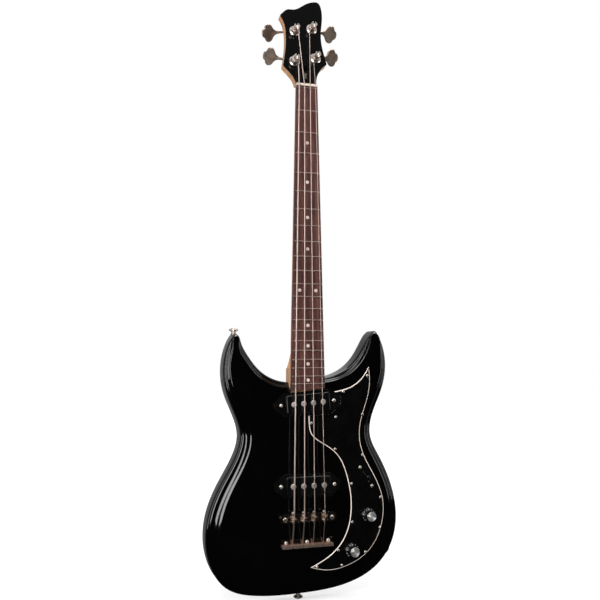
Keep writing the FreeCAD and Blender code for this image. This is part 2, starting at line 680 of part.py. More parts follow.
def make_neck():
    heel_depth = dim.top_drop + dim.neck_pocket_depth - dim.board_thickness
    start_width = board_width_at(-heel_start)
    shaft = Part.makeLoft([
        neck_section(nut_back, board_width_at(0), dim.neck_nut_depth, NECK_SQUARENESS["nut"]),
        neck_section(-heel_start, start_width, dim.neck_heel_depth, NECK_SQUARENESS["heel"]),
        neck_section(-heel_full, dim.heel_width, heel_depth, NECK_SQUARENESS["block"]),
    ], True, True)
    heel_length = tongue_end - heel_full
    heel = block(0, -heel_full - heel_length / 2, -dim.board_thickness - heel_depth,
                 dim.heel_width, heel_length, heel_depth)
    board_end = dim.board_length - dim.board_end_rise
    step_length = tongue_end - board_end
    step = block(0, -board_end - step_length / 2 - dim.cut_overrun / 2,
                 -dim.board_thickness - heel_depth + dim.tongue_thickness,
                 dim.heel_width + dim.cut_overrun, step_length + dim.cut_overrun,
                 heel_depth)
    slab = head_slab(head_back, dim.head_thickness)
    slab = slab.cut(post_bores() + [rod_slot()] + tuner_screw_holes())
    for piece, frame in ((shaft, neck_frame), (heel, neck_frame), (step, neck_frame), (slab, head_frame)):
        piece.Placement = frame
    rod_channel = rod(dim.rod_diameter + 2 * dim.seat_gap, dim.rod_end + dim.rod_slot_start + nut_back,
                      Vector(0, dim.rod_depth, -dim.rod_end), Vector(0, 0, 1))
    rod_access = rod(dim.rod_slot_width, dim.rod_slot_length, Vector(0, dim.rod_depth, dim.rod_nut_start),
                     Vector(0, 0, 1))
    pilots = []
    for x, z in plate_spots:
        pilots.append(rod(dim.neck_screw_diameter + 2 * dim.seat_gap, dim.neck_screw_length,
                          Vector(x, dim.top_drop + dim.body_thickness + dim.plate_thickness, z),
                          Vector(0, -1, 0)))
    neck = shaft.fuse([heel, slab]).cut([step, rod_channel, rod_access] + pilots)
    node("neck", neck.removeSplitter())


def make_head_face():
    face = head_slab(-dim.head_face_thickness, dim.head_face_thickness)
    strip = block(0, 0, -dim.head_face_thickness - dim.cut_overrun, dim.board_end_width,
                  2 * dim.head_face_setback, dim.head_face_thickness + 2 * dim.cut_overrun)
    node("headstock_face", face.cut(post_bores() + [rod_slot(), strip]), head_frame)


def make_truss_rod():
    shaft = rod(dim.rod_diameter, dim.rod_end + dim.rod_nut_start,
                Vector(0, dim.rod_depth, -dim.rod_end), Vector(0, 0, 1))
    corners = []
    for side in range(6):
        angle = math.radians(60 * side)
        corners.append(Vector(math.cos(angle), math.sin(angle), 0) * (dim.rod_nut_diameter / 2))
    hexagon = prism(Part.makePolygon(corners + corners[:1]), 0, dim.rod_nut_length)
    hexagon.translate(Vector(0, dim.rod_depth, dim.rod_nut_start))
    node("truss_rod", shaft.fuse(hexagon))


# Fingerboard, frets, dots and nut

def dot_places():
    places = []
    for number in range(1, fret_count() + 1):
        middle = (fret_z(number) + fret_z(number - 1)) / 2
        if number % OCTAVE in DOT_FRETS:
            places.append(Vector(0, middle, 0))
        elif number % OCTAVE == 0:
            places += [Vector(side * dim.twin_dot_spacing / 2, middle, 0) for side in (-1, 1)]
    return places


def make_fingerboard():
    top = board_width_at(dim.nut_setback) / 2
    end = dim.board_end_width / 2
    corners = [
        Vector(-top, dim.nut_setback, 0), Vector(-end, -dim.board_length - dim.board_end_rise, 0),
        Vector(end, -dim.board_length + dim.board_end_rise, 0), Vector(top, dim.nut_setback, 0),
    ]
    board = prism(Part.makePolygon(corners + corners[:1]), -dim.board_thickness, dim.board_thickness)
    pockets = [
        rod(dim.dot_diameter + 2 * dim.seat_gap, dim.dot_depth + dim.cut_overrun,
            place + Vector(0, 0, dim.cut_overrun))
        for place in dot_places()
    ]
    node("fingerboard", board.cut(pockets), neck_frame)
    dots = [rod(dim.dot_diameter, dim.dot_depth, place) for place in dot_places()]
    node("position_dots", Part.makeCompound(dots), neck_frame)


def make_frets():
    frets = []
    for number in range(fret_count() + 1):
        z = fret_z(number)
        reach = board_width_at(z) / 2 - dim.fret_inset
        left = Vector(-reach, z - dim.fret_width / 2, 0)
        right = Vector(-reach, z + dim.fret_width / 2, 0)
        crown = Part.Arc(left, Vector(-reach, z, dim.fret_height), right).toShape()
        face = Part.Face(Part.Wire([crown, Part.makeLine(right, left)]))
        frets.append(face.extrude(Vector(2 * reach, 0, 0)))
    node("frets", Part.makeCompound(frets), neck_frame)


def make_nut():
    middle = dim.nut_setback + dim.nut_thickness / 2
    width = board_width_at(dim.nut_setback)
    nut = block(0, middle, -dim.board_thickness, width, dim.nut_thickness,
                dim.board_thickness + dim.nut_rise)
    slots = []
    for name in STRINGS:
        path = string_path(name)
        low = min(neck_frame.inverse().multVec(path.at_height(z)).z for z in (dim.nut_setback, nut_back))
        center = neck_frame.inverse().multVec(path.at_height(middle))
        floor = low - gauge(name) / 2 - dim.nut_slot_room
        slots.append(block(center.x, middle, floor, gauge(name) + 2 * dim.nut_slot_room + dim.run_gap,
                           dim.nut_thickness + dim.cut_overrun, dim.nut_rise + dim.cut_overrun))
    node("nut", nut.cut(slots), neck_frame)


# Strings: taut from the tailpiece over saddle and zero fret, then wound on the posts

def biarc(start, start_way, end, end_way):
    """Two arcs that leave one point and reach another along given directions."""
    chord = end - start
    ways = start_way + end_way
    spread = 2 * (1 - start_way.dot(end_way))
    along = chord.dot(ways)
    reach = (-along + math.sqrt(along ** 2 + spread * chord.dot(chord))) / spread
    first = start + start_way * reach
    last = end - end_way * reach
    joint = (first + last) / 2
    return [tangent_arc(start, first, joint), tangent_arc(joint, last, end)]


def tangent_arc(start, corner, end):
    """The arc from start to end whose tangents meet at the corner."""
    middle = (start + end) / 2
    toward = corner - middle
    half_chord = (end - start).Length / 2
    sweep = math.atan(toward.Length / half_chord)
    crown = middle + toward.normalize() * (half_chord * math.tan(sweep / 2))
    return Part.Arc(start, crown, end).toShape()


def string_path(name):
    """Key points of one string, in the instrument's frame."""
    index = STRINGS.index(name)
    radius = gauge(name) / 2
    at_tail = string_x(index, dim.bridge_spread)
    at_nut = string_x(index, dim.nut_spread)
    tail_z = -tail_start - dim.tail_depth + dim.ball_length
    tail = deck_frame.multVec(Vector(at_tail, tail_z, dim.tail_axis_rise))
    saddle = deck_frame.multVec(Vector(at_tail, saddle_z(name), dim.saddle_axis_rise))
    fret = neck_frame.multVec(Vector(at_nut, 0, dim.fret_height + radius + dim.seat_gap))

    center = post_place(name)
    side = 1 if center.x < 0 else -1
    wind_radius = dim.post_waist / 2 + dim.run_gap + radius
    pitch = gauge(name) + dim.wind_gap
    low = dim.bushing_height + dim.run_gap + radius + pitch / 4
    local_fret = head_frame.inverse().multVec(fret)
    flat = Vector(center.x - local_fret.x, center.y - local_fret.y, 0)
    lean = math.asin(side * wind_radius / flat.Length)
    way = Rotation(Vector(0, 0, 1), -math.degrees(lean)).multVec(flat.normalize())
    touch_angle = math.atan2(way.y, way.x) - side * math.pi / 2

    def on_post(turn):
        angle = touch_angle + side * 2 * math.pi * turn
        spot = center + Vector(math.cos(angle), math.sin(angle), 0) * wind_radius
        return spot + Vector(0, 0, low + pitch * turn)

    def way_on_post(turn):
        angle = touch_angle + side * 2 * math.pi * turn
        around = Vector(-math.sin(angle), math.cos(angle), 0) * (side * 2 * math.pi * wind_radius)
        return (around + Vector(0, 0, pitch)).normalize()

    leave = head_frame.multVec(on_post(0))

    def at_height(z):
        return fret + (leave - fret) * ((z - fret.z) / (leave.z - fret.z))

    return SimpleNamespace(tail=tail, saddle=saddle, fret=fret, leave=leave, radius=radius, pitch=pitch,
                           on_post=on_post, way_on_post=way_on_post, at_height=at_height)


def rounded_bend(before, corner, after, radius):
    """The two ends and the edge of an arc that rounds a corner of a taut path."""
    arrive = (corner - before).normalize()
    depart = (after - corner).normalize()
    turn = arrive.getAngle(depart)
    reach = radius * math.tan(turn / 2)
    start = corner - arrive * reach
    end = corner + depart * reach
    return start, tangent_arc(start, corner, end), end


def least_gap(points, neighbours, diameter):
    """Least clear distance between points of a winding that are not close along it."""
    gaps = []
    for index, point in enumerate(points):
        for other in points[index + neighbours:]:
            gaps.append((point - other).Length - diameter)
    return min(gaps)


def make_string(name):
    path = string_path(name)
    s_start, s_arc, s_end = rounded_bend(path.tail, path.saddle, path.fret, dim.bend_radius)
    f_start, f_arc, f_end = rounded_bend(path.saddle, path.fret, path.leave, dim.bend_radius)
    edges = [Part.makeLine(path.tail, s_start), s_arc, Part.makeLine(s_end, f_start), f_arc,
             Part.makeLine(f_end, path.leave)]
    to_head = head_frame.multVec
    turn_way = head_frame.Rotation.multVec
    spot = path.leave
    way = (path.leave - f_end).normalize()
    quarters = 4 * WIND_TURNS
    for quarter in range(1, quarters + 1):
        turn = quarter / 4
        next_spot = to_head(path.on_post(turn))
        next_way = turn_way(path.way_on_post(turn))
        edges += biarc(spot, way, next_spot, next_way)
        spot = next_spot
        way = next_way
    edges.append(Part.makeLine(spot, spot + way * (2 * path.radius)))
    spine = Part.Wire(edges)
    start_way = (path.saddle - path.tail).normalize()
    ring = Part.Wire([Part.makeCircle(path.radius, path.tail, start_way)])
    tube = spine.makePipeShell([ring], True, False)
    drawn = math.pi * path.radius ** 2 * spine.Length
    samples = 48
    turns = [path.on_post(step / samples) for step in range(samples * WIND_TURNS + 1)]
    gap = least_gap(turns, samples * 3 // 4, 2 * path.radius)
    print("string %s: volume share %.4f, least gap of the winding %.2f" % (name, tube.Volume / drawn, gap))
    ball = rod(dim.ball_diameter, dim.ball_length, path.tail, Vector(0, 0, -1))
    node("string_" + name, Part.makeCompound([tube, ball]))


# Tuning machines: plate with lugs, worm on the key, gear on the post, bushing in the headstock

def tuner_screw_seats():
    """Seats of the screws of one machine, on the back of its plate."""
    back = head_back - dim.tuner_plate_thickness
    return [
        Vector(side * dim.tuner_screw_x, along, back)
        for side in (-1, 1) for along in (-dim.tuner_screw_low, dim.tuner_screw_high)
    ]


def tuner_screw_frames():
    facing_back = Rotation(Vector(1, 0, 0), 180)
    return [
        tuner_place(name).multiply(Placement(seat, facing_back))
        for name in STRINGS for seat in tuner_screw_seats()
    ]


def tuner_screw_hole(seat):
    return rod(dim.small_shank + 2 * dim.seat_gap, dim.small_length + dim.seat_gap, seat, Vector(0, 0, 1))


def tuner_screw_holes():
    return [tuner_screw_hole(frame.Base) for frame in tuner_screw_frames()]


worm_center = dim.gear_pitch_radius + dim.worm_pitch_radius
worm_tip = dim.worm_pitch_radius + dim.gear_addendum
worm_out = head_back - dim.tuner_plate_thickness - worm_tip - dim.run_gap
gear_front = worm_out + dim.gear_thickness / 2
lug_height = worm_tip + dim.run_gap + dim.key_shaft / 2 + dim.lug_wall


def make_tuner_plates():
    length = dim.tuner_plate_below + dim.tuner_plate_above
    middle = (dim.tuner_plate_above - dim.tuner_plate_below) / 2
    back = head_back - dim.tuner_plate_thickness
    plate = block(0, middle, back, dim.tuner_plate_width, length, dim.tuner_plate_thickness)
    lugs = []
    for side in (-1, 1):
        lug_x = side * (dim.lug_gap + dim.lug_thickness / 2)
        lugs.append(block(lug_x, worm_center, back - lug_height,
                          dim.lug_thickness, dim.lug_width, lug_height))
    holes = [
        rod(dim.key_shaft + 2 * dim.seat_gap, dim.tuner_plate_width,
            Vector(-dim.tuner_plate_width / 2, worm_center, worm_out), Vector(1, 0, 0)),
        rod(dim.post_diameter + 2 * dim.seat_gap, dim.tuner_plate_thickness + 2 * dim.cut_overrun,
            Vector(0, 0, head_back + dim.cut_overrun)),
    ]
    holes += [tuner_screw_hole(seat) for seat in tuner_screw_seats()]
    machine = plate.fuse(lugs).cut(holes)
    plates = []
    for name in STRINGS:
        piece = machine.copy()
        piece.Placement = tuner_place(name)
        plates.append(piece)
    node("tuner_plates", Part.makeCompound(plates), head_frame)


def make_tuner_bushings():
    master = turned("tuner_bushing", [
        ("sizes.post_diameter / 2 + sizes.seat_gap", "-sizes.head_thickness - sizes.head_face_thickness"),
        ("sizes.post_bore_diameter / 2", "-sizes.head_thickness - sizes.head_face_thickness"),
        ("sizes.post_bore_diameter / 2", "0"),
        ("sizes.bushing_flange / 2", "0"),
        ("sizes.bushing_flange / 2", "sizes.bushing_height / 2"),
        ("sizes.bushing_top / 2", "sizes.bushing_height"),
        ("sizes.post_diameter / 2 + sizes.seat_gap", "sizes.bushing_height"),
    ])
    frames = [out_of(head_frame, post_place(name).x, post_place(name).y, 0) for name in STRINGS]
    group("tuner_bushings", master, frames)


def gear_blank():
    """The worm wheel's outline, with a gap between two teeth facing the worm."""
    tip = dim.gear_pitch_radius + dim.gear_addendum
    root = dim.gear_pitch_radius - dim.gear_dedendum
    corners = []
    for tooth in range(GEAR_TEETH):
        middle = math.pi / 2 + 2 * math.pi * (tooth + 1 / 2) / GEAR_TEETH
        for radius, width in ((root, -dim.gear_root_width), (tip, -dim.gear_tip_width),
                              (tip, dim.gear_tip_width), (root, dim.gear_root_width)):
            angle = middle + width / 2 / radius
            corners.append(Vector(radius * math.cos(angle), radius * math.sin(angle), 0))
    return prism(Part.makePolygon(corners + corners[:1]), gear_front - dim.gear_thickness, dim.gear_thickness)


def post_profile():
    """Post from the gear up: shaft, drawn-in waist for the string, and flared crown."""
    shaft = dim.post_diameter / 2
    waist = dim.post_waist / 2
    crown = dim.post_crown / 2
    crown_start = dim.post_height - dim.post_crown_height
    gear_back = gear_front - dim.gear_thickness
    outline = [Vector(0, 0, gear_back), Vector(shaft, 0, gear_back),
               Vector(shaft, 0, dim.bushing_height), Vector(waist, 0, dim.bushing_height),
               Vector(waist, 0, crown_start), Vector(crown, 0, crown_start + dim.post_crown_height / 3),
               Vector(crown, 0, dim.post_height), Vector(0, 0, dim.post_height)]
    face = Part.Face(Part.makePolygon(outline + outline[:1]))
    return face.revolve(Vector(0, 0, 0), Vector(0, 0, 1), 360)


def make_posts():
    slot = block(0, 0, dim.post_height - dim.post_slot_depth, dim.post_slot_width,
                 dim.post_crown + dim.cut_overrun, dim.post_slot_depth + dim.cut_overrun)
    post = post_profile().fuse(gear_blank()).cut(slot)
    for name in STRINGS:
        node("tuner_post_" + name, post.copy(), head_frame.multiply(tuner_place(name)))


def worm_shape():
    """A worm along X with one right-handed thread, its middle crest facing the gear."""
    pitch = 2 * math.pi * dim.gear_pitch_radius / GEAR_TEETH
    length = pitch * WORM_TURNS
    root = dim.worm_core / 2
    inner = root - dim.gear_addendum / 2
    corners = [Vector(inner, 0, -dim.worm_root_width / 2), Vector(worm_tip, 0, -dim.worm_tip_width / 2),
               Vector(worm_tip, 0, dim.worm_tip_width / 2), Vector(inner, 0, dim.worm_root_width / 2)]
    helix = Part.makeHelix(pitch, length, dim.worm_pitch_radius)
    thread = Part.Wire(helix).makePipeShell([Part.makePolygon(corners + corners[:1])], True, True)
    core = Part.makeCylinder(root, length + 2 * dim.worm_root_width, Vector(0, 0, -dim.worm_root_width))
    worm = core.fuse(thread)
    facing_gear = pitch * (1 + 3 / 4)
    worm.translate(Vector(0, 0, -facing_gear))
    worm.rotate(Vector(0, 0, 0), Vector(0, 1, 0), 90)
    return worm


def key_head():
    """A flat cloverleaf that flares from the shaft, with its rim broken on both sides."""
    runs = []
    for shares in KEY_OUTLINE_SHARES:
        runs.append([Vector(x * dim.key_length, y * dim.key_half_width, 0) for x, y in shares])
    neck, tip = runs
    mirrored = [[Vector(point.x, -point.y, 0) for point in reversed(run)] for run in runs]
    edges = [spline(neck).toShape(), spline(tip + mirrored[1][1:]).toShape(), spline(mirrored[0]).toShape()]
    edges.append(Part.makeLine(mirrored[0][-1], neck[0]))
    leaf = prism(Part.Wire(edges), -dim.key_thickness / 2, dim.key_thickness)
    rims = []
    for edge in leaf.Edges:
        box = edge.BoundBox
        if box.ZLength < dim.seat_gap and box.XLength > dim.seat_gap:
            rims.append(edge)
    return leaf.makeChamfer(dim.key_rim_round, rims)


def make_keys():
    worm = worm_shape()
    leaf = key_head()
    inner = dim.lug_gap + dim.lug_thickness + dim.lug_thickness / 2
    for name in STRINGS:
        place = tuner_place(name)
        side = -1 if place.Base.x < 0 else 1
        seat = place.multVec(Vector(0, worm_center, worm_out))
        lean = math.radians(getattr(dim, "tuner_turn_" + name))
        reach = (dim.key_reach - side * seat.x) / math.cos(lean)
        leaf_start = reach - dim.key_length
        shaft_length = inner + leaf_start + dim.key_length / 4
        shaft = rod(dim.key_shaft, shaft_length, Vector(-inner, 0, 0), Vector(1, 0, 0))
        paddle = leaf.copy()
        paddle.translate(Vector(leaf_start, 0, 0))
        paddle.rotate(Vector(0, 0, 0), Vector(1, 0, 0), side * dim.key_rest)
        handle = shaft.fuse(paddle)
        if side < 0:
            handle.rotate(Vector(0, 0, 0), Vector(0, 0, 1), 180)
        key = handle.fuse(worm.copy())
        node("tuner_key_" + name, key, head_frame.multiply(Placement(seat, place.Rotation)))


# Pickups: a covered coil with four pole screws, held by screws through its two ears

def ear_wire(spread):
    shoulder = dim.ear_shoulder + spread / 2
    wide = dim.ear_half_width + spread
    reach = dim.ear_reach + spread
    tip = dim.ear_tip + spread / 2
    quarter = [(reach, tip), (shoulder, wide)]
    corners = [Vector(x, y, 0) for x, y in quarter]
    corners += [Vector(-x, y, 0) for x, y in reversed(quarter)]
    corners += [Vector(-x, -y, 0) for x, y in quarter]
    corners += [Vector(x, -y, 0) for x, y in reversed(quarter)]
    return Part.makePolygon(corners + corners[:1])


def make_pickup_cover(name, spacing):
    base = prism(ear_wire(0), 0, dim.ear_thickness)
    base = base.makeFillet(dim.ear_round, [edge for edge in base.Edges if abs(edge.tangentAt(0).z) > 0.5])
    cover = block(0, 0, 0, dim.cover_length, dim.cover_width, dim.cover_rise)
    corners = [edge for edge in cover.Edges if abs(edge.tangentAt(0).z) > 0.5]
    cover = cover.makeFillet(dim.cover_corner, corners)
    rim = [edge for edge in cover.Edges if edge.BoundBox.ZMin > dim.cover_rise - dim.seat_gap]
    cover = cover.makeFillet(dim.cover_top_round, rim)
    hollow = block(0, 0, -dim.cut_overrun, dim.coil_length + 2 * dim.rout_room,
                   dim.coil_width + 2 * dim.rout_room, dim.cut_overrun + dim.cover_rise - dim.cover_wall)
    holes = []
    for index in range(len(STRINGS)):
        x = string_x(index, spacing * (len(STRINGS) - 1))
        holes.append(rod(dim.pole_diameter + 2 * dim.seat_gap, dim.cover_rise + dim.cut_overrun,
                         Vector(x, 0, dim.cover_rise + dim.cut_overrun)))
    for side in (-1, 1):
        holes.append(rod(dim.mount_shank + 2 * dim.seat_gap, dim.ear_thickness + 2 * dim.cut_overrun,
                         Vector(side * dim.ear_screw_x, 0, dim.ear_thickness + dim.cut_overrun)))
    node(name + "_pickup_cover", base.fuse(cover).cut([hollow] + holes), pickup_frame(name))


def make_pickup_coil(name, spacing):
    straight = dim.coil_length - dim.coil_width
    top = dim.cover_rise - dim.cover_wall
    coil = block(0, 0, top - dim.coil_depth, straight, dim.coil_width, dim.coil_depth)
    ends = [rod(dim.coil_width, dim.coil_depth, Vector(side * straight / 2, 0, top)) for side in (-1, 1)]
    holes = []
    for index in range(len(STRINGS)):
        x = string_x(index, spacing * (len(STRINGS) - 1))
        holes.append(rod(dim.pole_diameter + 2 * dim.seat_gap, dim.coil_depth + 2 * dim.cut_overrun,
                         Vector(x, 0, top + dim.cut_overrun)))
    node(name + "_pickup_coil", coil.fuse(ends).removeSplitter().cut(holes), pickup_frame(name))


def make_poles():
    master = turned("pole_piece", [
        ("0", "sizes.cover_rise + sizes.pole_rise - sizes.pole_length"),
        ("sizes.pole_diameter / 2", "sizes.cover_rise + sizes.pole_rise - sizes.pole_length"),
        ("sizes.pole_diameter / 2", "sizes.cover_rise"),
        ("sizes.pole_diameter / 2 - sizes.pole_rise", "sizes.cover_rise + sizes.pole_rise"),
        ("0", "sizes.cover_rise + sizes.pole_rise"),
    ])
    frames = []
    for name, spacing in (("neck", dim.pole_spacing_neck), ("bridge", dim.pole_spacing_bridge)):
        for index in range(len(STRINGS)):
            x = string_x(index, spacing * (len(STRINGS) - 1))
            frames.append(out_of(pickup_frame(name), x, 0, 0))
    group("pole_pieces", master, frames)


def make_pickups():
    for name, spacing in (("neck", dim.pole_spacing_neck), ("bridge", dim.pole_spacing_bridge)):
        make_pickup_cover(name, spacing)
        make_pickup_coil(name, spacing)
    make_poles()


# Pickguard: a laminated sheet with a bevelled edge, cut round the pickups and the controls

def make_pickguard():
    runs = [spline([guard_point(shares) for shares in run]).toShape() for run in GUARD_OUTLINE_SHARES]
    bridge = Part.makeLine(runs[0].Vertexes[-1].Point, runs[1].Vertexes[0].Point)
    sheet_blank = prism(Part.Wire([runs[0], bridge, runs[1], runs[2]]), 0, dim.guard_thickness)
    rim = [edge for edge in sheet_blank.Edges if edge.BoundBox.ZMin > dim.guard_thickness - dim.seat_gap]
    guard = sheet_blank.makeChamfer(dim.guard_bevel, rim)
    through = dim.guard_thickness + 2 * dim.cut_overrun
    cuts = []
    for name in ("neck", "bridge"):
        pickup = prism(ear_wire(dim.guard_pickup_gap), -dim.cut_overrun, through)
        pickup.Placement = in_deck(pickup_frame(name))
        cuts.append(pickup)
    for place in pot_places.values():
        top = place + Vector(0, 0, through - dim.cut_overrun)
        cuts.append(rod(dim.pot_bushing + 2 * dim.seat_gap, through, top))
    slot = block(0, 0, -dim.cut_overrun, dim.switch_slot_length, dim.switch_slot_width, through)
    slot.Placement = in_deck(switch_frame)
    cuts.append(slot)
    for side in (-1, 1):
        hole = rod(dim.switch_shank + 2 * dim.seat_gap, through,
                   Vector(side * dim.switch_screw_spacing / 2, 0, through - dim.cut_overrun))
        hole.Placement = in_deck(switch_frame)
        cuts.append(hole)
    cuts += [hole_for(frame, dim.small_shank, through) for frame in guard_screws]
    node("pickguard", guard.cut(cuts), deck_frame)


# Screws

def screw_profile(prefix):
    head = "sizes.%s_head / 2" % prefix
    rise = "sizes.%s_rise" % prefix
    shank = "sizes.%s_shank / 2" % prefix
    length = "sizes.%s_length" % prefix
    return [("0", "-" + length), (shank + " / 3", "-" + length), (shank, "-%s + 2 * %s" % (length, shank)),
            (shank, "0"), (head, "0"), (head + " * 0.9", rise + " / 2"), (head + " / 2", rise), ("0", rise)]


def make_screws():
    small = turned("small_screw", screw_profile("small"))
    head_screws = [head_frame.multiply(frame) for frame in tuner_screw_frames()]
    group("small_screws", small, guard_screws + head_screws)
    mount = turned("mounting_screw", screw_profile("mount"))
    group("mounting_screws", mount, ear_screws + tail_screws)
    machine = turned("switch_screw", screw_profile("switch"))
    group("switch_screws", machine, [
        out_of(switch_frame, side * dim.switch_screw_spacing / 2, 0, guard_top) for side in (-1, 1)
    ])
    button = turned("button_screw", screw_profile("button_screw"))
    group("strap_button_screws", button, [
        out_of(frame, 0, 0, dim.button_height) for frame in (horn_frame, tail_frame)
    ])


# Neck plate and its screws, on the back of the body

def make_neck_plate():
    half_width = "sizes.plate_width / 2"
    half_height = "sizes.plate_height / 2"
    plate = padded("neck_plate", [
        ("-" + half_width, "-" + half_height), (half_width, "-" + half_height),
        (half_width, half_height), ("-" + half_width, half_height),
    ], "sizes.plate_thickness")
    rounded_uprights(plate, "sizes.plate_corner")
    drilled(plate, [
        (x + "sizes.plate_screw_x / 2", y + "sizes.plate_screw_z / 2") for x in ("", "-") for y in ("", "-")
    ], "sizes.neck_screw_diameter + 2 * sizes.seat_gap")
    back = dim.top_drop + dim.body_thickness
    facing_back = Rotation(Vector(1, 0, 0), -90)
    plate.Placement = Placement(Vector(0, back, -plate_center), facing_back)
    named(plate, "neck_plate")
    screw = turned("neck_screw", [
        ("0", "-sizes.neck_screw_length"),
        ("sizes.neck_screw_diameter / 2", "sizes.neck_screw_diameter - sizes.neck_screw_length"),
        ("sizes.neck_screw_diameter / 2", "0"),
        ("sizes.neck_screw_head / 2", "0"),
        ("sizes.neck_screw_head / 2.4", "sizes.neck_screw_rise * 0.7"),
        ("sizes.neck_screw_head / 5", "sizes.neck_screw_rise"),
        ("0", "sizes.neck_screw_rise"),
    ])
    group("neck_screws", screw, [
        Placement(Vector(x, back + dim.plate_thickness, z), facing_back) for x, z in plate_spots
    ])


# Bridge: channelled bar on two posts, with four sliding saddles and their screws

def make_bridge_bar():
    straight = dim.bridge_length - dim.bridge_width
    bar = block(0, 0, 0, straight, dim.bridge_width, dim.bridge_height)
    ends = [Part.makeCylinder(dim.bridge_width / 2, dim.bridge_height, Vector(side * straight / 2, 0, 0))
            for side in (-1, 1)]
    bar = bar.fuse(ends).removeSplitter()
    cuts = [block(0, 0, dim.bridge_floor, dim.channel_length, dim.channel_width, dim.bridge_height)]
    for x in bridge_posts:
        cuts.append(rod(dim.bridge_post_diameter + 2 * dim.seat_gap, dim.bridge_height + 2 * dim.cut_overrun,
                        Vector(x, -dim.bridge_post_setback, dim.bridge_height + dim.cut_overrun)))
    for index in range(len(STRINGS)):
        cuts.append(rod(dim.saddle_screw + 2 * dim.seat_gap, saddle_screw_length + dim.seat_gap,
                        Vector(string_x(index, dim.bridge_spread), dim.bridge_width / 2,
                               dim.saddle_screw_rise - dim.bridge_lift), Vector(0, -1, 0)))
    node("bridge_bar", bar.cut(cuts), out_of(deck_frame, 0, -bridge_z, dim.bridge_lift))


def make_bridge_posts():
    post = turned("bridge_post", [
        ("0", "-sizes.bridge_post_depth"),
        ("sizes.bridge_post_diameter / 2", "-sizes.bridge_post_depth"),
        ("sizes.bridge_post_diameter / 2", "sizes.bridge_post_top - sizes.bridge_post_slot / 2"),
        ("sizes.bridge_post_diameter / 2 - sizes.bridge_post_slot / 2", "sizes.bridge_post_top"),
        ("0", "sizes.bridge_post_top"),
    ])
    slot = doc.addObject("Part::Box", "bridge_post_slot_tool")
    slot.setExpression("Length", "2 * sizes.bridge_post_diameter")
    slot.setExpression("Width", "sizes.bridge_post_slot")
    slot.setExpression("Height", "2 * sizes.bridge_post_slot")
    slot.setExpression("Placement.Base.x", "-sizes.bridge_post_diameter")
    slot.setExpression("Placement.Base.y", "-sizes.bridge_post_slot / 2")
    slot.setExpression("Placement.Base.z", "sizes.bridge_post_top - sizes.bridge_post_slot")
    slotted = doc.addObject("Part::Cut", "bridge_post_slotted")
    slotted.Base = post
    slotted.Tool = slot
    wheel = turned("bridge_thumbwheel", [
        ("sizes.bridge_post_diameter / 2 + sizes.seat_gap", "sizes.bridge_lift - sizes.wheel_thickness"),
        ("sizes.wheel_diameter / 2", "sizes.bridge_lift - sizes.wheel_thickness"),
        ("sizes.wheel_diameter / 2", "sizes.bridge_lift"),
        ("sizes.bridge_post_diameter / 2 + sizes.seat_gap", "sizes.bridge_lift"),
    ])
    bushing = turned("bridge_bushing", [
        ("sizes.bridge_post_diameter / 2 + sizes.seat_gap", "-sizes.bridge_post_depth"),
        ("sizes.bridge_bushing_diameter / 2", "-sizes.bridge_post_depth"),
        ("sizes.bridge_bushing_diameter / 2", "0"),
        ("sizes.bridge_bushing_flange / 2", "0"),
        ("sizes.bridge_bushing_flange / 2", "sizes.bridge_bushing_rim"),
        ("sizes.bridge_post_diameter / 2 + sizes.seat_gap", "sizes.bridge_bushing_rim"),
    ])
    doc.recompute()
    frames = [out_of(deck_frame, x, -bridge_post_z, 0) for x in bridge_posts]
    group("bridge_posts", slotted, frames)
    group("bridge_thumbwheels", wheel, frames)
    group("bridge_bushings", bushing, frames)


def make_saddles():
    for index, name in enumerate(STRINGS):
        x = string_x(index, dim.bridge_spread)
        floor = dim.bridge_lift + dim.bridge_floor
        top = dim.saddle_axis_rise - gauge(name) / 2 - dim.saddle_seat
        shoulder = top - dim.saddle_shoulder
        half = dim.saddle_length / 2
        ridge = dim.saddle_ridge / 2
        outline = [Vector(0, -half, floor), Vector(0, half, floor), Vector(0, half, shoulder),
                   Vector(0, ridge, top), Vector(0, -ridge, top), Vector(0, -half, shoulder)]
        saddle = Part.Face(Part.makePolygon(outline + outline[:1])).extrude(Vector(dim.saddle_width, 0, 0))
        saddle.translate(Vector(-dim.saddle_width / 2, 0, 0))
        bore = rod(dim.saddle_screw + 2 * dim.seat_gap, dim.saddle_length + 2 * dim.cut_overrun,
                   Vector(0, -half - dim.cut_overrun, dim.saddle_screw_rise), Vector(0, 1, 0))
        node("saddle_" + name, saddle.cut(bore), out_of(deck_frame, x, saddle_z(name), 0))


def make_saddle_screws():
    head_end = "sizes.saddle_screw_head_length"
    screw = turned("saddle_screw", [
        ("0", "-sizes.bridge_width + sizes.saddle_screw_head_length / 2"),
        ("sizes.saddle_screw / 2", "-sizes.bridge_width + sizes.saddle_screw_head_length / 2"),
        ("sizes.saddle_screw / 2", "0"),
        ("sizes.saddle_screw_head / 2", "0"),
        ("sizes.saddle_screw_head / 2", head_end + " * 0.7"),
        ("sizes.saddle_screw_head / 2.6", head_end),
        ("0", head_end),
    ])
    for index, name in enumerate(STRINGS):
        seat = Vector(string_x(index, dim.bridge_spread), -bridge_z + dim.bridge_width / 2,
                      dim.saddle_screw_rise)
        toward_neck = Rotation(Vector(1, 0, 0), -90)
        frame = deck_frame.multiply(Placement(seat, toward_neck))
        solid = screw.Shape.copy()
        node("saddle_screw_" + name, solid, frame.multiply(screw.Shape.Placement))


# Tailpiece: a screwed plate whose raised lip is slotted for the strings and bored for their balls

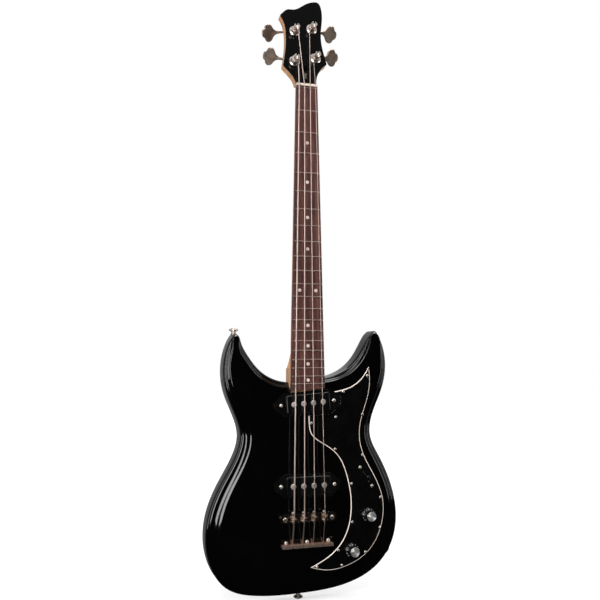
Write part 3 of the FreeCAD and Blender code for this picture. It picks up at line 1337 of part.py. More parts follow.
def make_tailpiece():
    plate = block(0, -dim.tail_depth / 2, 0, dim.tail_width, dim.tail_depth, dim.tail_plate)
    lip = block(0, -dim.tail_depth + dim.tail_wall / 2, 0, dim.tail_width, dim.tail_wall, dim.tail_wall_rise)
    cuts = []
    for index in range(len(STRINGS)):
        cuts.append(block(string_x(index, dim.bridge_spread), -dim.tail_depth + dim.tail_wall / 2,
                          dim.tail_slot_floor, dim.tail_slot_width, dim.tail_wall + dim.cut_overrun,
                          dim.tail_wall_rise))
        cuts.append(rod(dim.ball_diameter + 2 * dim.run_gap, dim.ball_length + dim.cut_overrun,
                        Vector(string_x(index, dim.bridge_spread), -dim.tail_depth - dim.cut_overrun,
                               dim.tail_axis_rise), Vector(0, 1, 0)))
    for side in (-1, 0, 1):
        cuts.append(rod(dim.mount_shank + 2 * dim.seat_gap, dim.tail_plate + 2 * dim.cut_overrun,
                        Vector(side * dim.tail_screw_x, -dim.tail_screw_inset,
                               dim.tail_plate + dim.cut_overrun)))
    node("tailpiece", plate.fuse(lip).removeSplitter().cut(cuts), out_of(deck_frame, 0, -tail_start, 0))


# Strap buttons

def make_strap_buttons():
    button = turned("strap_button", [
        ("sizes.button_screw_shank / 2 + sizes.seat_gap", "0"),
        ("sizes.button_base / 2", "0"),
        ("sizes.button_waist / 2", "sizes.button_height / 3"),
        ("sizes.button_waist / 2", "sizes.button_height / 2"),
        ("sizes.button_rim / 2", "sizes.button_height - sizes.button_rim_height"),
        ("sizes.button_rim / 2", "sizes.button_height - sizes.button_rim_height / 2"),
        ("sizes.button_rim / 2.4", "sizes.button_height"),
        ("sizes.button_screw_shank / 2 + sizes.seat_gap", "sizes.button_height"),
    ])
    group("strap_buttons", button, [horn_frame, tail_frame])


# Volume and tone controls: pot under the pickguard, shaft, skirted knob with a metal cap

def make_controls():
    seat = "sizes.guard_thickness + sizes.knob_lift"
    top = seat + " + sizes.knob_height"
    bore = "sizes.pot_shaft / 2 + sizes.seat_gap"
    shaft_top = "sizes.guard_thickness + sizes.pot_shaft_rise"
    for name, place in pot_places.items():
        frame = out_of(deck_frame, place.x, place.y, 0)
        knob = turned(name + "_knob", [
            ("0", shaft_top),
            (bore, shaft_top),
            (bore, seat + " + sizes.knob_recess_depth"),
            ("sizes.knob_recess / 2", seat + " + sizes.knob_recess_depth"),
            ("sizes.knob_recess / 2", seat),
            ("sizes.knob_skirt / 2", seat),
            ("sizes.knob_skirt / 2", seat + " + sizes.knob_skirt_edge"),
            ("sizes.knob_barrel / 2", seat + " + sizes.knob_skirt_height"),
            ("sizes.knob_barrel / 2", top),
            ("sizes.knob_cap / 2 + sizes.seat_gap", top),
            ("sizes.knob_cap / 2 + sizes.seat_gap", top + " - sizes.knob_cap_sink"),
            ("0", top + " - sizes.knob_cap_sink"),
        ])
        cap = turned(name + "_knob_cap", [
            ("0", top + " - sizes.knob_cap_sink"),
            ("sizes.knob_cap / 2", top + " - sizes.knob_cap_sink"),
            ("sizes.knob_cap / 2", top),
            ("sizes.knob_cap / 2 - sizes.knob_cap_rise / 2", top + " + sizes.knob_cap_rise"),
            ("0", top + " + sizes.knob_cap_rise"),
        ])
        shaft = turned(name + "_shaft", [
            ("0", "-sizes.pot_can_depth / 2"),
            ("sizes.pot_shaft / 2", "-sizes.pot_can_depth / 2"),
            ("sizes.pot_shaft / 2", shaft_top),
            ("0", shaft_top),
        ])
        pot = turned(name + "_pot", [
            ("0", "-sizes.pot_can_depth"),
            ("sizes.pot_can / 2", "-sizes.pot_can_depth"),
            ("sizes.pot_can / 2", "0"),
            ("sizes.pot_bushing / 2", "0"),
            ("sizes.pot_bushing / 2", "sizes.guard_thickness"),
            ("sizes.pot_nut / 2", "sizes.guard_thickness"),
            ("sizes.pot_nut / 2", "sizes.guard_thickness + sizes.pot_nut_height"),
            ("sizes.pot_bushing / 2", "sizes.guard_thickness + sizes.pot_nut_height"),
            ("sizes.pot_bushing / 2", "sizes.guard_thickness + sizes.pot_bushing_rise"),
            (bore, "sizes.guard_thickness + sizes.pot_bushing_rise"),
            (bore, "-sizes.pot_can_depth / 2"),
            ("0", "-sizes.pot_can_depth / 2"),
        ])
        for piece in (knob, cap, shaft, pot):
            piece.Placement = frame
            nodes.append(piece)


# Selector switch: frame under the pickguard, lever on a pin between two cheeks

def make_switch():
    plate = block(0, 0, -dim.frame_thickness, dim.frame_length, dim.frame_width, dim.frame_thickness)
    slot = block(0, 0, -dim.frame_thickness - dim.cut_overrun, dim.switch_slot_length, dim.switch_slot_width,
                 dim.frame_thickness + 2 * dim.cut_overrun)
    holes = [rod(dim.switch_shank + 2 * dim.seat_gap, dim.frame_thickness + 2 * dim.cut_overrun,
                 Vector(side * dim.switch_screw_spacing / 2, 0, dim.cut_overrun)) for side in (-1, 1)]
    cheeks = []
    for side in (-1, 1):
        cheeks.append(block(0, side * (dim.cheek_gap + dim.cheek_thickness) / 2, -dim.cheek_depth,
                            dim.cheek_length, dim.cheek_thickness, dim.cheek_depth))
    pin_reach = dim.cheek_gap + 2 * dim.cheek_thickness
    pin = rod(dim.pivot_diameter, pin_reach, Vector(0, -pin_reach / 2, -dim.pivot_depth), Vector(0, 1, 0))
    frame = plate.cut([slot] + holes).fuse(cheeks + [pin]).removeSplitter()
    node("switch_frame", frame, switch_frame)

    foot = -dim.pivot_depth - dim.lever_foot
    height = dim.guard_thickness + dim.lever_rise
    blade = block(0, 0, foot, dim.lever_width, dim.lever_thickness, height - foot)
    tip = block(0, 0, guard_top + dim.tip_start, dim.tip_width, dim.tip_thickness, dim.tip_length)
    tip = tip.makeFillet(dim.tip_thickness / 4, tip.Edges)
    bore = rod(dim.pivot_diameter + 2 * dim.seat_gap, dim.lever_thickness + 2 * dim.cut_overrun,
               Vector(0, -dim.lever_thickness / 2 - dim.cut_overrun, -dim.pivot_depth), Vector(0, 1, 0))
    node("switch_lever", blade.fuse(tip).cut(bore), switch_frame)


# Output jack in the treble side, and the leads under the pickguard

def make_jack():
    jack = turned("output_jack", [
        ("sizes.jack_bore / 2", "sizes.jack_flange_height"),
        ("sizes.jack_flange / 2 - sizes.jack_flange_height / 2", "sizes.jack_flange_height"),
        ("sizes.jack_flange / 2", "0"),
        ("sizes.jack_diameter / 2", "0"),
        ("sizes.jack_diameter / 2", "-sizes.jack_length"),
        ("0", "-sizes.jack_length"),
        ("0", "-sizes.jack_bore_depth"),
        ("sizes.jack_bore / 2", "-sizes.jack_bore_depth"),
    ])
    jack.Placement = jack_frame
    named(jack, "output_jack")


def make_wiring():
    """The last run of the pickup leads, through its bore from the bridge rout to the volume pot."""
    rest = -dim.rout_depth + dim.lead_bore / 2
    volume = pot_places["volume"] + Vector(0, 0, rest)
    bridge = Vector(dim.coil_length / 4, -bridge_pickup_z, rest)
    into = (volume - bridge).normalize()
    start = bridge + into * (dim.coil_length / 4)
    length = (volume - start).Length - dim.pot_can / 2
    node("wiring", rod(dim.lead_diameter, length, start, into), deck_frame)


def build():
    make_body()
    make_neck()
    make_head_face()
    make_truss_rod()
    make_fingerboard()
    make_frets()
    make_nut()
    for name in STRINGS:
        make_string(name)
    make_tuner_plates()
    make_tuner_bushings()
    make_posts()
    make_keys()
    make_pickups()
    make_pickguard()
    make_screws()
    make_neck_plate()
    make_bridge_bar()
    make_bridge_posts()
    make_saddles()
    make_saddle_screws()
    make_tailpiece()
    make_strap_buttons()
    make_controls()
    make_switch()
    make_jack()
    make_wiring()


def check_document():
    doc.recompute()
    for piece in doc.Objects:
        if "Invalid" in piece.State or "Error" in piece.State:
            raise RuntimeError("%s did not build: %s" % (piece.Label, piece.State))
    for piece in nodes:
        if piece.Shape.isNull() or not piece.Shape.isValid():
            raise RuntimeError("%s has no valid shape" % piece.Label)
        if not piece.Shape.Solids:
            raise RuntimeError("%s has no solid" % piece.Label)


build()
check_document()
os.makedirs("parts", exist_ok=True)
for piece in nodes:
    piece.Shape.exportStep("parts/%s.step" % piece.Label)
print("%d nodes, %d solids" % (len(nodes), sum(len(piece.Shape.Solids) for piece in nodes)))
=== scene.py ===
import json
import math

import bmesh
import bpy
import numpy as np
from mathutils import Matrix, Vector, geometry


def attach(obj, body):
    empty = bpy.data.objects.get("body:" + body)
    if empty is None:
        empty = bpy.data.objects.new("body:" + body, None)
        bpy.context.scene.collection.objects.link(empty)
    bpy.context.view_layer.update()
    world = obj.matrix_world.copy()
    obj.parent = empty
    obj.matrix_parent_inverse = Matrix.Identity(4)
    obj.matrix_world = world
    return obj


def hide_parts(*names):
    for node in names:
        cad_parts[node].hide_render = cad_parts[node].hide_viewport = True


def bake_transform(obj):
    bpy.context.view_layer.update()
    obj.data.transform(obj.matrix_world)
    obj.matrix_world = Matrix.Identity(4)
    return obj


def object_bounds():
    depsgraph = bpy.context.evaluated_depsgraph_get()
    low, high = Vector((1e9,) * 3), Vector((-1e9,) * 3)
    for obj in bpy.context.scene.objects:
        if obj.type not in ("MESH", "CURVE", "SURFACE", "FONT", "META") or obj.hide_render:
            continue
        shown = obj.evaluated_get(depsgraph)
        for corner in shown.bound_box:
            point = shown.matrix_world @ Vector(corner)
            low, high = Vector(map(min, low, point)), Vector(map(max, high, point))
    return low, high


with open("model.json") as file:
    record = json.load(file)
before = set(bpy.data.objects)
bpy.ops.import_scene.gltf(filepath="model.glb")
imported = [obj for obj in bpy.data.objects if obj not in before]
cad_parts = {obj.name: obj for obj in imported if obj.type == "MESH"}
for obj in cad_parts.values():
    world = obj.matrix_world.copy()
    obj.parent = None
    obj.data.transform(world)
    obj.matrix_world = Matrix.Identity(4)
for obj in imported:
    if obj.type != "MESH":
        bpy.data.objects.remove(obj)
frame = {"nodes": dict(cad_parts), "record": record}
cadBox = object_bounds()
nodes = frame["nodes"]
mm = 0.001
print("frame loaded:", len(nodes), "nodes")


# shared tools

def linear(hexText):  # sRGB hex to linear colour
    parts = [int(hexText[i:i + 2], 16) / 255 for i in (1, 3, 5)]
    return [p / 12.92 if p <= 0.04045 else ((p + 0.055) / 1.055) ** 2.4 for p in parts] + [1.0]


def addNode(tree, kind, values=None, links=None, **settings):
    made = tree.nodes.new("ShaderNode" + kind)
    for name, value in settings.items():
        setattr(made, name, value)
    for socket, value in (values or {}).items():
        made.inputs[socket].default_value = value
    for socket, source in (links or {}).items():
        tree.links.new(source, made.inputs[socket])
    return made


def startMaterial(name, values, places="Object"):  # with its tree, its shader and its pattern's places
    made = bpy.data.materials.new(name)
    made.use_nodes = True
    shader = made.node_tree.nodes["Principled BSDF"]
    for socket, value in values.items():
        shader.inputs[socket].default_value = value
    return made, made.node_tree, shader, addNode(made.node_tree, "TexCoord").outputs[places]


def feed(tree, shader, sources):  # links a material's results to its shader
    for socket, source in sources.items():
        tree.links.new(source, shader.inputs[socket])


def setStops(ramp, stops):
    ends = ramp.color_ramp.elements
    while len(ends) < len(stops):
        ends.new(0.5)
    for end, (place, hexText) in zip(ends, stops):
        end.position = place
        end.color = linear(hexText)


def splineThrough(points, perSpan):  # natural cubic through the points, by chord length
    pts = np.array(points, float)
    knots = np.concatenate([[0], np.cumsum(np.linalg.norm(np.diff(pts, axis=0), axis=1))])
    gaps = np.diff(knots)
    count = len(pts)
    grid = np.eye(count)
    right = np.zeros_like(pts)
    for i in range(1, count - 1):
        grid[i, i - 1:i + 2] = gaps[i - 1], 2 * (gaps[i - 1] + gaps[i]), gaps[i]
        right[i] = 6 * ((pts[i + 1] - pts[i]) / gaps[i] - (pts[i] - pts[i - 1]) / gaps[i - 1])
    bend = np.linalg.solve(grid, right)
    line = []
    for i in range(count - 1):
        for step in range(perSpan):
            b = step / perSpan
            a = 1 - b
            line.append(a * pts[i] + b * pts[i + 1]
                        + ((a ** 3 - a) * bend[i] + (b ** 3 - b) * bend[i + 1]) * gaps[i] ** 2 / 6)
    line.append(pts[-1])
    return np.array(line)


def slopeAt(line):  # unit tangents along a line of points
    way = np.gradient(line, axis=0)
    return way / np.linalg.norm(way, axis=1)[:, None]


def intoScene(name, data):  # an object for a mesh, lamp, camera or text
    made = bpy.data.objects.new(name, data)
    bpy.context.scene.collection.objects.link(made)
    return made


def rawMesh(name, verts, faces):
    data = bpy.data.meshes.new(name)
    data.from_pydata([tuple(v) for v in verts], [], faces)
    return intoScene(name, data)


def meshPiece(name, verts, faces, material, body="instrument", smooth=40):
    made = rawMesh(name, verts, faces)
    made.data.validate()
    return dress(made, material, body, smooth)


def dress(made, material, body="instrument", smooth=40):
    data = made.data
    data.materials.clear()
    data.materials.append(material)
    data.polygons.foreach_set("use_smooth", [True] * len(data.polygons))
    data.set_sharp_from_angle(angle=math.radians(smooth))
    if body:
        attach(made, body)
    return made


def ringFaces(rings, size):  # quads between rings of equal size
    faces = []
    for r in range(rings - 1):
        for i in range(size):
            j = (i + 1) % size
            faces.append((r * size + i, r * size + j, (r + 1) * size + j, (r + 1) * size + i))
    return faces


def closedRings(rings, size):  # the same with a face across each end
    last = (rings - 1) * size
    return ringFaces(rings, size) + [tuple(reversed(range(size))), tuple(range(last, last + size))]


def capFaces(points, first, flip):  # triangles across a flat closed ring of points
    fans = geometry.tessellate_polygon([[Vector(p) for p in points]])
    return [tuple(first + i for i in (reversed(fan) if flip else fan)) for fan in fans]


def lathe(profile, steps):  # profile of (radius, out) pairs, turned about the out axis
    verts = []
    for radius, out in profile:
        for i in range(steps):
            turn = 2 * math.pi * i / steps
            verts.append((radius * math.cos(turn), radius * math.sin(turn), out))
    return verts, closedRings(len(profile), steps)


def tidyNormals(piece):
    work = bmesh.new()
    work.from_mesh(piece.data)
    bmesh.ops.recalc_face_normals(work, faces=work.faces)
    work.to_mesh(piece.data)
    work.free()


def cutWith(piece, cutter):  # cuts one mesh from another and drops the cutter
    tool = piece.modifiers.new("cut", "BOOLEAN")
    tool.operation = "DIFFERENCE"
    tool.solver = "EXACT"
    tool.object = cutter
    graph = bpy.context.evaluated_depsgraph_get()
    fresh = bpy.data.meshes.new_from_object(piece.evaluated_get(graph))
    piece.modifiers.clear()
    piece.data = fresh
    bpy.data.objects.remove(cutter)


cutOver = 4  # how far a cutter reaches past the surface, in mm


def cutterFrom(verts, faces):
    made = rawMesh("cutter", verts, faces)
    tidyNormals(made)
    return made


def prismCutter(outline, low, high):  # outline of (x, z) in mm, from depth low to high along y
    verts = [(x * mm, depth * mm, z * mm) for depth in (low, high) for x, z in outline]
    return cutterFrom(verts, closedRings(2, len(outline)))


# the instrument's three working planes, in mm: across, along the neck, out toward the player

planes = {"topDrop": 11, "headDrop": 5, "nutBack": 7.2, "headTilt": 10}
tilt = math.radians(planes["headTilt"])


def onDeck(across, along, out):
    return Vector((across, planes["topDrop"] - out, along)) * mm


def onNeck(across, along, out):
    return Vector((across, -out, along)) * mm


def onHead(across, along, out):
    return Vector((across, planes["headDrop"] + along * math.sin(tilt) - out * math.cos(tilt),
                   planes["nutBack"] + along * math.cos(tilt) + out * math.sin(tilt))) * mm


# materials

waveUnit = 2 * math.pi / 20  # the scale at which a wave texture has one band per unit
spread = (0.3, 0.7)  # noise keeps mostly between these, so a material's two ends lie there


def spanOf(ends):  # settings that carry a noise to two ends
    return {"From Min": spread[0], "From Max": spread[1], "To Min": ends[0], "To Max": ends[1]}


def blackLacquer():  # polyester lacquer, sprayed and buffed: deep black with a wet, faintly uneven mirror
    look = {"peelMm": 5.0, "swirlMm": 60.0}
    made, tree, shader, place = startMaterial("polyesterLacquerBuffed", {"IOR": 1.5})
    swirl = addNode(tree, "TexNoise", {"Scale": 1 / (look["swirlMm"] * mm), "Detail": 3.0}, {"Vector": place})
    haze = addNode(tree, "MapRange", spanOf((0.045, 0.085)), {"Value": swirl.outputs["Fac"]})
    tint = addNode(tree, "ValToRGB", links={"Fac": swirl.outputs["Fac"]})
    setStops(tint, [(0.3, "#010101"), (0.8, "#030303")])
    peel = addNode(tree, "TexNoise", {"Scale": 1 / (look["peelMm"] * mm), "Detail": 1.0}, {"Vector": place})
    bump = addNode(tree, "Bump", {"Strength": 0.02, "Distance": 0.01 * mm}, {"Height": peel.outputs["Fac"]})
    feed(tree, shader, {"Roughness": haze.outputs["Result"], "Base Color": tint.outputs["Color"],
                        "Normal": bump.outputs["Normal"]})
    return made


def satinMaple():  # hard maple under a satin varnish: honey streaks along the neck, black in the rod's slot
    look = {"streakMm": 4.0, "fleckMm": 1.2, "stretch": 0.06, "slotHalfMm": 5.0, "slotMiddleMm": 30.5,
            "slotReachMm": 16.0, "slotFloorMm": 17.0}
    made, tree, shader, place = startMaterial("mapleSatinVarnish", {
        "Roughness": 0.38, "IOR": 1.5, "Coat Weight": 0.25, "Coat Roughness": 0.2})
    drawn = addNode(tree, "Mapping", {"Scale": (1, 1, look["stretch"])}, {"Vector": place}).outputs["Vector"]
    streak = addNode(tree, "TexNoise", {
        "Scale": 1 / (look["streakMm"] * mm), "Detail": 6.0, "Distortion": 0.6}, {"Vector": drawn})
    fleck = addNode(tree, "TexNoise", {"Scale": 1 / (look["fleckMm"] * mm), "Detail": 2.0}, {"Vector": drawn})
    tint = addNode(tree, "ValToRGB", links={"Fac": streak.outputs["Fac"]})
    setStops(tint, [(0.25, "#9a6f4c"), (0.5, "#b98a64"), (0.75, "#cda481")])
    bump = addNode(tree, "Bump", {"Strength": 0.15, "Distance": 0.05 * mm}, {"Height": fleck.outputs["Fac"]})
    parts = addNode(tree, "SeparateXYZ", links={"Vector": place})
    across = addNode(tree, "Math", {1: 0.0, 2: look["slotHalfMm"] * mm}, {0: parts.outputs["X"]},
                     operation="COMPARE")
    along = addNode(tree, "Math", {1: look["slotMiddleMm"] * mm, 2: look["slotReachMm"] * mm},
                    {0: parts.outputs["Z"]}, operation="COMPARE")
    lean = addNode(tree, "Math", {1: -math.tan(tilt)}, {0: parts.outputs["Z"], 2: parts.outputs["Y"]},
                   operation="MULTIPLY_ADD")
    front = addNode(tree, "Math", {1: look["slotFloorMm"] * mm}, {0: lean.outputs[0]}, operation="LESS_THAN")
    inSlot = addNode(tree, "Math", links={0: across.outputs[0], 1: along.outputs[0]}, operation="MULTIPLY")
    # the maple is coloured near black inside the rod's slot, below the head's face
    nearBlackInSlot = addNode(tree, "Math", links={0: inSlot.outputs[0], 1: front.outputs[0]}, operation="MULTIPLY")
    both = addNode(tree, "Mix", links={0: nearBlackInSlot.outputs[0], 6: tint.outputs["Color"]}, data_type="RGBA")
    both.inputs[7].default_value = linear("#0a0908")
    feed(tree, shader, {"Base Color": both.outputs[2], "Normal": bump.outputs["Normal"]})
    return made


def oiledRosewood():  # rosewood, planed and oiled: red-brown bands with dark open pores along the grain
    look = {"bandMm": 5.0, "poreMm": 0.9, "stretch": 0.035}  # real pores are 0.3 mm, drawn coarser to show
    made, tree, shader, place = startMaterial("rosewoodOiled", {"Roughness": 0.42, "IOR": 1.5})
    drawn = addNode(tree, "Mapping", {"Scale": (1, 1, look["stretch"])}, {"Vector": place}).outputs["Vector"]
    band = addNode(tree, "TexNoise", {
        "Scale": 1 / (look["bandMm"] * mm), "Detail": 5.0, "Distortion": 0.8}, {"Vector": drawn})
    pore = addNode(tree, "TexNoise", {"Scale": 1 / (look["poreMm"] * mm), "Detail": 2.0}, {"Vector": drawn})
    tint = addNode(tree, "ValToRGB", links={"Fac": band.outputs["Fac"]})
    setStops(tint, [(0.28, "#2b1510"), (0.5, "#4b2923"), (0.72, "#694036")])
    dark = addNode(tree, "ValToRGB", links={"Fac": pore.outputs["Fac"]})
    setStops(dark, [(0.34, "#6a5a55"), (0.46, "#ffffff")])
    both = addNode(tree, "Mix", links={6: tint.outputs["Color"], 7: dark.outputs["Color"]},
                   data_type="RGBA", blend_type="MULTIPLY")
    both.inputs["Factor"].default_value = 1.0
    bump = addNode(tree, "Bump", {"Strength": 0.25, "Distance": 0.06 * mm}, {"Height": pore.outputs["Fac"]})
    feed(tree, shader, {"Base Color": both.outputs[2], "Normal": bump.outputs["Normal"]})
    return made


# plated, buffed metal with faint finger smudges, and where satin says so a brushed part below a height
def platedMetal(name, tones, roughness, smudgeMm=9.0, satin=None):
    made, tree, shader, place = startMaterial(name, {"Metallic": 1.0})
    smudge = addNode(tree, "TexNoise", {"Scale": 1 / (smudgeMm * mm), "Detail": 4.0}, {"Vector": place})
    tint = addNode(tree, "ValToRGB", links={"Fac": smudge.outputs["Fac"]})
    setStops(tint, list(zip(spread, tones)))
    rough = addNode(tree, "MapRange", spanOf(roughness), {"Value": smudge.outputs["Fac"]})
    feed(tree, shader, {"Base Color": tint.outputs["Color"], "Roughness": rough.outputs["Result"]})
    if satin:
        parts = addNode(tree, "SeparateXYZ", links={"Vector": place})
        under = addNode(tree, "MapRange", {"From Min": (satin["below"] + satin["fade"]) * mm,
                                           "From Max": satin["below"] * mm}, {"Value": parts.outputs["Z"]})
        brushed = addNode(tree, "Mix", {3: satin["roughness"]},
                          {0: under.outputs["Result"], 2: rough.outputs["Result"]})
        feed(tree, shader, {"Roughness": brushed.outputs[0]})
    return made


def woundNickel():  # nickel wrap wire on a steel core: soft bright with fine rings across the string, with painted shade in the grooves between the wraps
    look = {"wrapMm": 1.1}  # real wrap is 0.4 mm, drawn coarser to show
    made, tree, shader, place = startMaterial("nickelWrapWire", {"Metallic": 1.0, "Roughness": 0.4}, "UV")
    rings = addNode(tree, "TexWave", {"Scale": waveUnit / look["wrapMm"]}, {"Vector": place},
                    bands_direction="Y")
    tint = addNode(tree, "ValToRGB", links={"Fac": rings.outputs["Fac"]})
    # painted shade: the colour darkens where the rings' bump sinks between the wraps
    setStops(tint, [(0.0, "#ae9a92"), (0.6, "#dac6bd")])
    bump = addNode(tree, "Bump", {"Strength": 0.15, "Distance": 0.1 * mm}, {"Height": rings.outputs["Fac"]})
    feed(tree, shader, {"Base Color": tint.outputs["Color"], "Normal": bump.outputs["Normal"]})
    return made


def turnedAluminium():  # aluminium faced on a lathe: pale, with fine rings round the middle, each painted a little darker in its groove as shade
    look = {"ringMm": 0.9}  # real tool marks are 0.1 mm, drawn coarser to show
    made, tree, shader, place = startMaterial("aluminiumTurned", {
        "Metallic": 1.0, "Anisotropic": 1.0, "Anisotropic Rotation": 0.25}, "UV")
    ringWay = addNode(tree, "Tangent", direction_type="UV_MAP")
    rings = addNode(tree, "TexWave", {"Scale": waveUnit / look["ringMm"]}, {"Vector": place},
                    bands_direction="Y")
    tint = addNode(tree, "ValToRGB", links={"Fac": rings.outputs["Fac"]})
    # painted shade: the colour is a little darker where the rings' bump sinks
    setStops(tint, [(0.0, "#e2e0dd"), (1.0, "#f4f3f1")])
    rough = addNode(tree, "MapRange", {"To Min": 0.46, "To Max": 0.54}, {"Value": rings.outputs["Fac"]})
    bump = addNode(tree, "Bump", {"Strength": 0.25, "Distance": 0.05 * mm}, {"Height": rings.outputs["Fac"]})
    feed(tree, shader, {"Tangent": ringWay.outputs["Tangent"], "Base Color": tint.outputs["Color"],
                        "Roughness": rough.outputs["Result"], "Normal": bump.outputs["Normal"]})
    return made


# moulded, filed or printed stuff with soft clouds of colour and a faint skin texture
def mouldedPlastic(name, tones, roughness, grainMm=0.8, places=spread):
    look = {"cloudMm": 22.0}
    made, tree, shader, place = startMaterial(name, {"IOR": 1.5})
    grain = addNode(tree, "TexNoise", {"Scale": 1 / (grainMm * mm), "Detail": 2.0}, {"Vector": place})
    cloud = addNode(tree, "TexNoise", {"Scale": 1 / (look["cloudMm"] * mm), "Detail": 3.0}, {"Vector": place})
    tint = addNode(tree, "ValToRGB", links={"Fac": cloud.outputs["Fac"]})
    setStops(tint, list(zip(places, tones)))
    rough = addNode(tree, "MapRange", spanOf(roughness), {"Value": cloud.outputs["Fac"]})
    bump = addNode(tree, "Bump", {"Strength": 0.08, "Distance": 0.03 * mm}, {"Height": grain.outputs["Fac"]})
    feed(tree, shader, {"Base Color": tint.outputs["Color"], "Roughness": rough.outputs["Result"],
                        "Normal": bump.outputs["Normal"]})
    return made


lacquer = blackLacquer()
maple = satinMaple()
rosewood = oiledRosewood()
# buffed plate is a warm mirror, and fret wire a dull line across the board
nickel = platedMetal("nickelPlateBuffed", ("#b09f90", "#c8b7a8"), (0.06, 0.11))
fretWire = platedMetal("nickelSilverFretWire", ("#927f73", "#a8958a"), (0.38, 0.48))
# tumbled screws have a pale, soft shine, and satin keys a warm grey one
screwNickel = platedMetal("nickelPlateBarrelled", ("#cfc4bb", "#e2d9d1"), (0.24, 0.34), 3.0)
keyNickel = platedMetal("nickelPlateSatin", ("#aa9788", "#bca99a"), (0.36, 0.46), 7.0)
# ground slugs end bright and flat, and drawn steel stays a plain grey
poleSteel = platedMetal("steelSlugGround", ("#dfd4d0", "#f1e8e4"), (0.4, 0.5), 4.0)
steel = platedMetal("steelDrawn", ("#77736f", "#8d8985"), (0.3, 0.45))
stringWire = woundNickel()
# filed bone is a dry cream, and the inlay a milky cloud
bone = mouldedPlastic("boneFiled", ("#c3b2a6", "#d4c4b9"), (0.3, 0.42), 1.5)
pearl = mouldedPlastic("pearloidInlay", ("#b39f96", "#d6c2b9"), (0.2, 0.3), 2.0, (0.35, 0.6))
# the laminate is a glossy black with a dull cream line where its middle ply is cut
guardBlack = mouldedPlastic("vinylLaminateBlack", ("#030303", "#060606"), (0.1, 0.16))
guardCream = mouldedPlastic("vinylLaminateCreamPly", ("#d9cbc0", "#e6dad0"), (0.4, 0.5))
# mouldings are black with a clear shine, and the print on them a flat white
blackPlastic = mouldedPlastic("absMouldedBlack", ("#050505", "#0a0a0a"), (0.1, 0.16))
numberPaint = mouldedPlastic("padPrintedWhite", ("#d9d7d2", "#e8e6e1"), (0.45, 0.55))
aluminium = turnedAluminium()
# enamel leaves the copper a deep red-brown, and the sheath is a dull dark grey
copper = platedMetal("copperEnamelled", ("#6b2f1c", "#8a4026"), (0.3, 0.4))
sheath = mouldedPlastic("pvcSheath", ("#2a2a2a", "#3a3a3a"), (0.4, 0.5))

finishOf = {
    "black_lacquer": lacquer, "maple": maple, "rosewood": rosewood, "nickel": nickel, "fret_wire": fretWire,
    "steel": steel, "string_wire": stringWire, "bone_white": bone, "pearl": pearl, "laminate": guardBlack,
    "black_plastic": blackPlastic, "aluminium": aluminium, "coil": copper, "lead": sheath,
}
slotOf = {part["node"]: part["material_slot"] for part in frame["record"]["subparts"]}
# the same mirror as the nickel, with a filed lip that only glows
tailNickel = platedMetal("nickelPlateFiledLip", ("#b59d8f", "#cab2a4"), (0.06, 0.11), 9.0,
                         {"below": -813.9, "fade": 0.3, "roughness": 0.42})
ownFinish = {
    "tailpiece": tailNickel, "pole_pieces": poleSteel, "bridge_posts": screwNickel,
    "tuner_bushings": screwNickel, "strap_buttons": screwNickel, "truss_rod": screwNickel,
}
for string in "eadg":
    ownFinish["saddle_screw_" + string] = screwNickel
    ownFinish["tuner_post_" + string] = screwNickel
    ownFinish["tuner_key_" + string] = keyNickel
for name, piece in nodes.items():
    for slot in piece.material_slots:
        slot.material = ownFinish.get(name, finishOf[slotOf[name]])
print("materials set:", len(finishOf))


# small round on the sharp edges of machined and moulded CAD pieces, so that they catch the light

edgeRound = {
    "neck": 0.0, "headstock_face": 0.5, "fingerboard": 0.5, "bridge_bar": 1.2, "tailpiece": 0.8,
    "neck_plate": 0.4, "tuner_plates": 0.3, "saddle_e": 0.3, "saddle_a": 0.3, "saddle_d": 0.3,
    "saddle_g": 0.3, "nut": 0.4, "neck_pickup_cover": 1.2, "bridge_pickup_cover": 1.2, "switch_lever": 0.2,
}
edgeForm = {"weld": 0.004, "segments": 3, "sharper": 35}
for name, size in edgeRound.items():
    piece = nodes[name]
    weld = piece.modifiers.new("weld", "WELD")
    weld.merge_threshold = edgeForm["weld"] * mm
    if size:
        bevel = piece.modifiers.new("edge", "BEVEL")
        bevel.width = size * mm
        bevel.segments = edgeForm["segments"]
        bevel.limit_method = "ANGLE"
        bevel.angle_limit = math.radians(edgeForm["sharper"])
    even = piece.modifiers.new("even", "WEIGHTED_NORMAL")
    even.keep_sharp = True
print("edges rounded:", len(edgeRound))


# body

